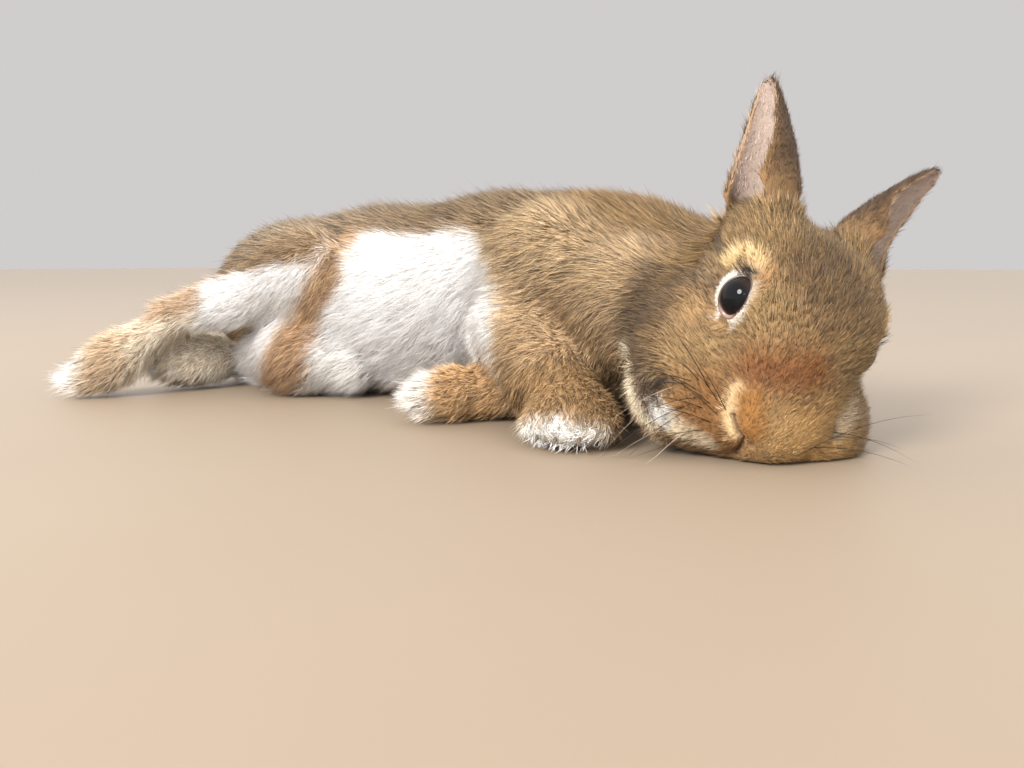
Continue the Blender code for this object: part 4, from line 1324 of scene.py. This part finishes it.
LOWEST_ROOT = 0.0009
INSIDE_EAR_THINNING = 0.8
SLIT_BARENESS = 0.72                 # how deep in a slit of the nose the skin bears no hair
COAT_SEED = 100
TUFT_LIFT_SPREAD = 5.0               # degrees
HAIR_LIFT_SPREAD = 7.0               # degrees
LENGTH_SPREAD = 0.10
HAIR_BEND = 0.20                     # radians from the middle of a hair to each end
TONE_SPREAD = 0.26
TICK_COLOUR = (0.060, 0.045, 0.035)


def scattered(here, share, tufts, rng):
    """Triangles of the skin picked evenly by their share, and the weights of a place in each."""
    steps = (np.arange(tufts) + rng.random(tufts)) / tufts
    chosen = here[np.searchsorted(np.cumsum(share) / share.sum(), steps)]
    chosen = np.minimum(chosen, triangle_count - 1)
    first, second = rng.random(tufts), rng.random(tufts)
    flip = first + second > 1.0
    first, second = np.where(flip, 1.0 - first, first), np.where(flip, 1.0 - second, second)
    return chosen, np.stack([1.0 - first - second, first, second], axis=1)[:, :, None]


def turned(way, side_way, angle):
    """A way turned towards its side way by an angle."""
    return way * np.cos(angle)[:, None] + side_way * np.sin(angle)[:, None]


triangle_regions = coat_regions(triangle_middles)
bare = np.zeros(triangle_count, dtype=bool)
for side in (1, -1):
    bare |= opening_level(triangle_middles, side) < 1.10
bare |= triangle_middles[:, 2] < LOWEST_ROOT
bare |= slit_nearness(triangle_middles) > SLIT_BARENESS
inside_ear = ear_places(triangle_middles)[2] > 0.5
for coat_index, (region, layout) in enumerate(COATS.items()):
    per_cm2, in_tuft, width, draw, uneven = layout
    rng = np.random.default_rng(COAT_SEED + coat_index)
    here = np.flatnonzero((triangle_regions == region) & ~bare)
    share = triangle_areas[here] * np.where(inside_ear[here], INSIDE_EAR_THINNING, 1.0)
    tufts = int(share.sum() * 10000.0 * per_cm2)
    chosen, weights = scattered(here, share, tufts, rng)
    roots = (triangle_points[chosen] * weights).sum(axis=1)
    normals = (skin_normals[corner_list[chosen]] * weights).sum(axis=1)
    normals /= np.linalg.norm(normals, axis=1)[:, None]
    patches = (triangle_patches[chosen] * weights).sum(axis=1)
    way, length, lift = lie_at(roots, normals)
    colour, dark = coat_colours(roots)
    wander = np.radians(uneven) * (0.9 * ripple(roots, 0.014, 11) + rng.normal(size=tufts))
    way = turned(way, np.cross(normals, way), wander)
    side_way = np.cross(normals, way)
    lift = np.radians(lift + rng.normal(size=tufts) * TUFT_LIFT_SPREAD)
    length = length * (1.0 + LENGTH_SPREAD * rng.normal(size=tufts))

    hairs = tufts * in_tuft
    of_tuft = np.repeat(np.arange(tufts), in_tuft)
    hair_way, hair_side, out = way[of_tuft], side_way[of_tuft], normals[of_tuft]
    spread = math.sqrt(1.0 / (per_cm2 * math.pi)) * 0.01 * TUFT_SPREAD
    reach = spread * np.sqrt(rng.random(hairs))
    bearing = rng.random(hairs) * 2.0 * math.pi
    offset = hair_way * (reach * np.cos(bearing))[:, None] + hair_side * (reach * np.sin(bearing))[:, None]
    hair_length = length[of_tuft] * rng.uniform(0.72, 1.12, hairs)
    hair_length = hair_length * np.where(rng.random(hairs) < 0.05, 1.25, 1.0)
    hair_lift = lift[of_tuft] + np.radians(HAIR_LIFT_SPREAD) * rng.normal(size=hairs)
    hair_way = turned(hair_way, hair_side, np.radians(uneven * 0.95) * rng.normal(size=hairs))
    start = roots[of_tuft] + offset - out * (hair_length * ROOT_SINK)[:, None]
    ends_ways = turned(hair_way, out, hair_lift + HAIR_BEND) + turned(hair_way, out, hair_lift - HAIR_BEND)
    tip = start + ends_ways * (hair_length * 0.5)[:, None] - offset * draw
    tone = np.clip(1.0 + TONE_SPREAD * rng.normal(size=hairs), 0.40, 1.7)
    base = colour[of_tuft] * tone[:, None]
    pale = np.clip(base.mean(axis=1, keepdims=True) * 1.3, 0.0, 1.0)
    ticked = rng.random(hairs) < dark[of_tuft]
    light = rng.random(hairs) < 0.25
    tip_colour = np.where(light[:, None], base * 1.25 + 0.04, base * 1.06)
    tip_colour = np.where(ticked[:, None], np.array(TICK_COLOUR), tip_colour)
    root_colour = base * (0.62 + 0.34 * pale) * np.where(ticked, 0.55, 1.0)[:, None]
    widths = width * rng.uniform(0.75, 1.2, hairs) * np.clip(hair_length / 0.006, 0.8, 1.1)
    hair_parts = (start, (start + tip) / 2.0, tip, widths, root_colour, tip_colour, patches[of_tuft])
    pieces = -(-hairs * len(SPIKE[1]) // PIECE_TRIANGLES)
    order = np.argsort(np.argsort(roots[:, 0]) * pieces // tufts, kind="stable")
    bounds = np.linspace(0, tufts, pieces + 1).astype(int)
    for number, (first, last) in enumerate(zip(bounds, bounds[1:]), 1):
        in_piece = np.zeros(tufts, dtype=bool)
        in_piece[order[first:last]] = True
        take = in_piece[of_tuft]
        name = f"coat_{region}" if pieces == 1 else f"coat_{region}_{number}"
        piece = add_hairs(name, SPIKE, *(part[take] for part in hair_parts), fur)
        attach(piece, "root")

# ---------------------------------------------------------------- the whiskers and the lashes
# Long stiff hairs that stand out from both sides of the muzzle, dark brown and pale, thick at
# the root and drawn out to nothing, and a patch of lashes behind each eye's far corner.

WHISKER = prototype((0.15, 0.3, 0.45, 0.6, 0.75, 0.9))
WHISKERS_A_SIDE = 20                 # in rows of four
LASHES = 46
WHISKER_WIDTH = 0.00030
PALE_WHISKER_WIDTH = 0.00018
LASH_WIDTH = 0.00020
LID_RADIUS = EYE_RADIUS + 0.0012
WHISKER_COLOUR = (0.020, 0.014, 0.011)
PALE_WHISKER_COLOUR = (0.50, 0.42, 0.33)
LASH_ROOT_COLOUR = (0.030, 0.022, 0.018)
LASH_TIP_COLOUR = (0.060, 0.045, 0.036)
rng = np.random.default_rng(31)


def nearest_skin(place):
    """The point of the skin nearest to a place in the head's axes."""
    return skin_points[np.argmin(((skin_points - in_head(place)) ** 2).sum(axis=1))]


starts, knees, tips, widths, root_colours, tip_colours = [], [], [], [], [], []
for side in (1, -1):
    for number in range(WHISKERS_A_SIDE):
        row, place = divmod(number, 4)
        aside = 0.004 + side * (0.0130 + 0.0035 * place)
        root = nearest_skin((aside, 0.0350 - 0.0030 * place, -0.0130 - 0.0035 * row))
        way = np.array((side * (0.90 - 0.10 * row), -0.30 + 0.12 * place + 0.18 * row, 0.34 - 0.27 * row))
        way += rng.normal(size=3) * 0.14
        way = HEAD_AXES @ (way / np.linalg.norm(way))
        length = rng.uniform(0.026, 0.046)
        sag = np.array((0.0, 0.0, 0.10 * length))
        starts.append(root)
        knees.append(root + way * length * 0.5 + sag)
        tips.append(root + way * length - sag)
        pale_one = row > 2 and place % 2
        widths.append(PALE_WHISKER_WIDTH if pale_one else WHISKER_WIDTH)
        shade = np.array(PALE_WHISKER_COLOUR if pale_one else WHISKER_COLOUR)
        root_colours.append(shade)
        tip_colours.append(shade * 1.1)
    for number in range(LASHES):
        place = np.array((0.0, rng.uniform(0.0066, 0.0090), rng.uniform(-0.0020, 0.0034)))
        on_lid = math.sqrt(LID_RADIUS**2 - place[1] ** 2 - place[2] ** 2)
        place[0] = on_lid if number % 2 else 0.0040
        root = eye_place(side) + eye_axes(side) @ place
        way = np.array((side * 0.60, -0.75, 0.15)) + rng.normal(size=3) * 0.16
        way = HEAD_AXES @ (way / np.linalg.norm(way))
        out = eye_axes(side)[:, 0]
        length = rng.uniform(0.0045, 0.0075)
        starts.append(root)
        knees.append(root + (way + out * 0.6) * length * 0.5)
        tips.append(root + (way + out * 0.2) * length)
        widths.append(LASH_WIDTH)
        root_colours.append(np.array(LASH_ROOT_COLOUR))
        tip_colours.append(np.array(LASH_TIP_COLOUR))
count = len(starts)
patches = np.stack([(np.arange(count) + 0.5) / count, np.full(count, 0.5)], axis=1)
hair_parts = (np.array(part) for part in (starts, knees, tips, widths, root_colours, tip_colours))
whiskers = add_hairs("whiskers", WHISKER, *hair_parts, patches, fur)
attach(whiskers, "root")
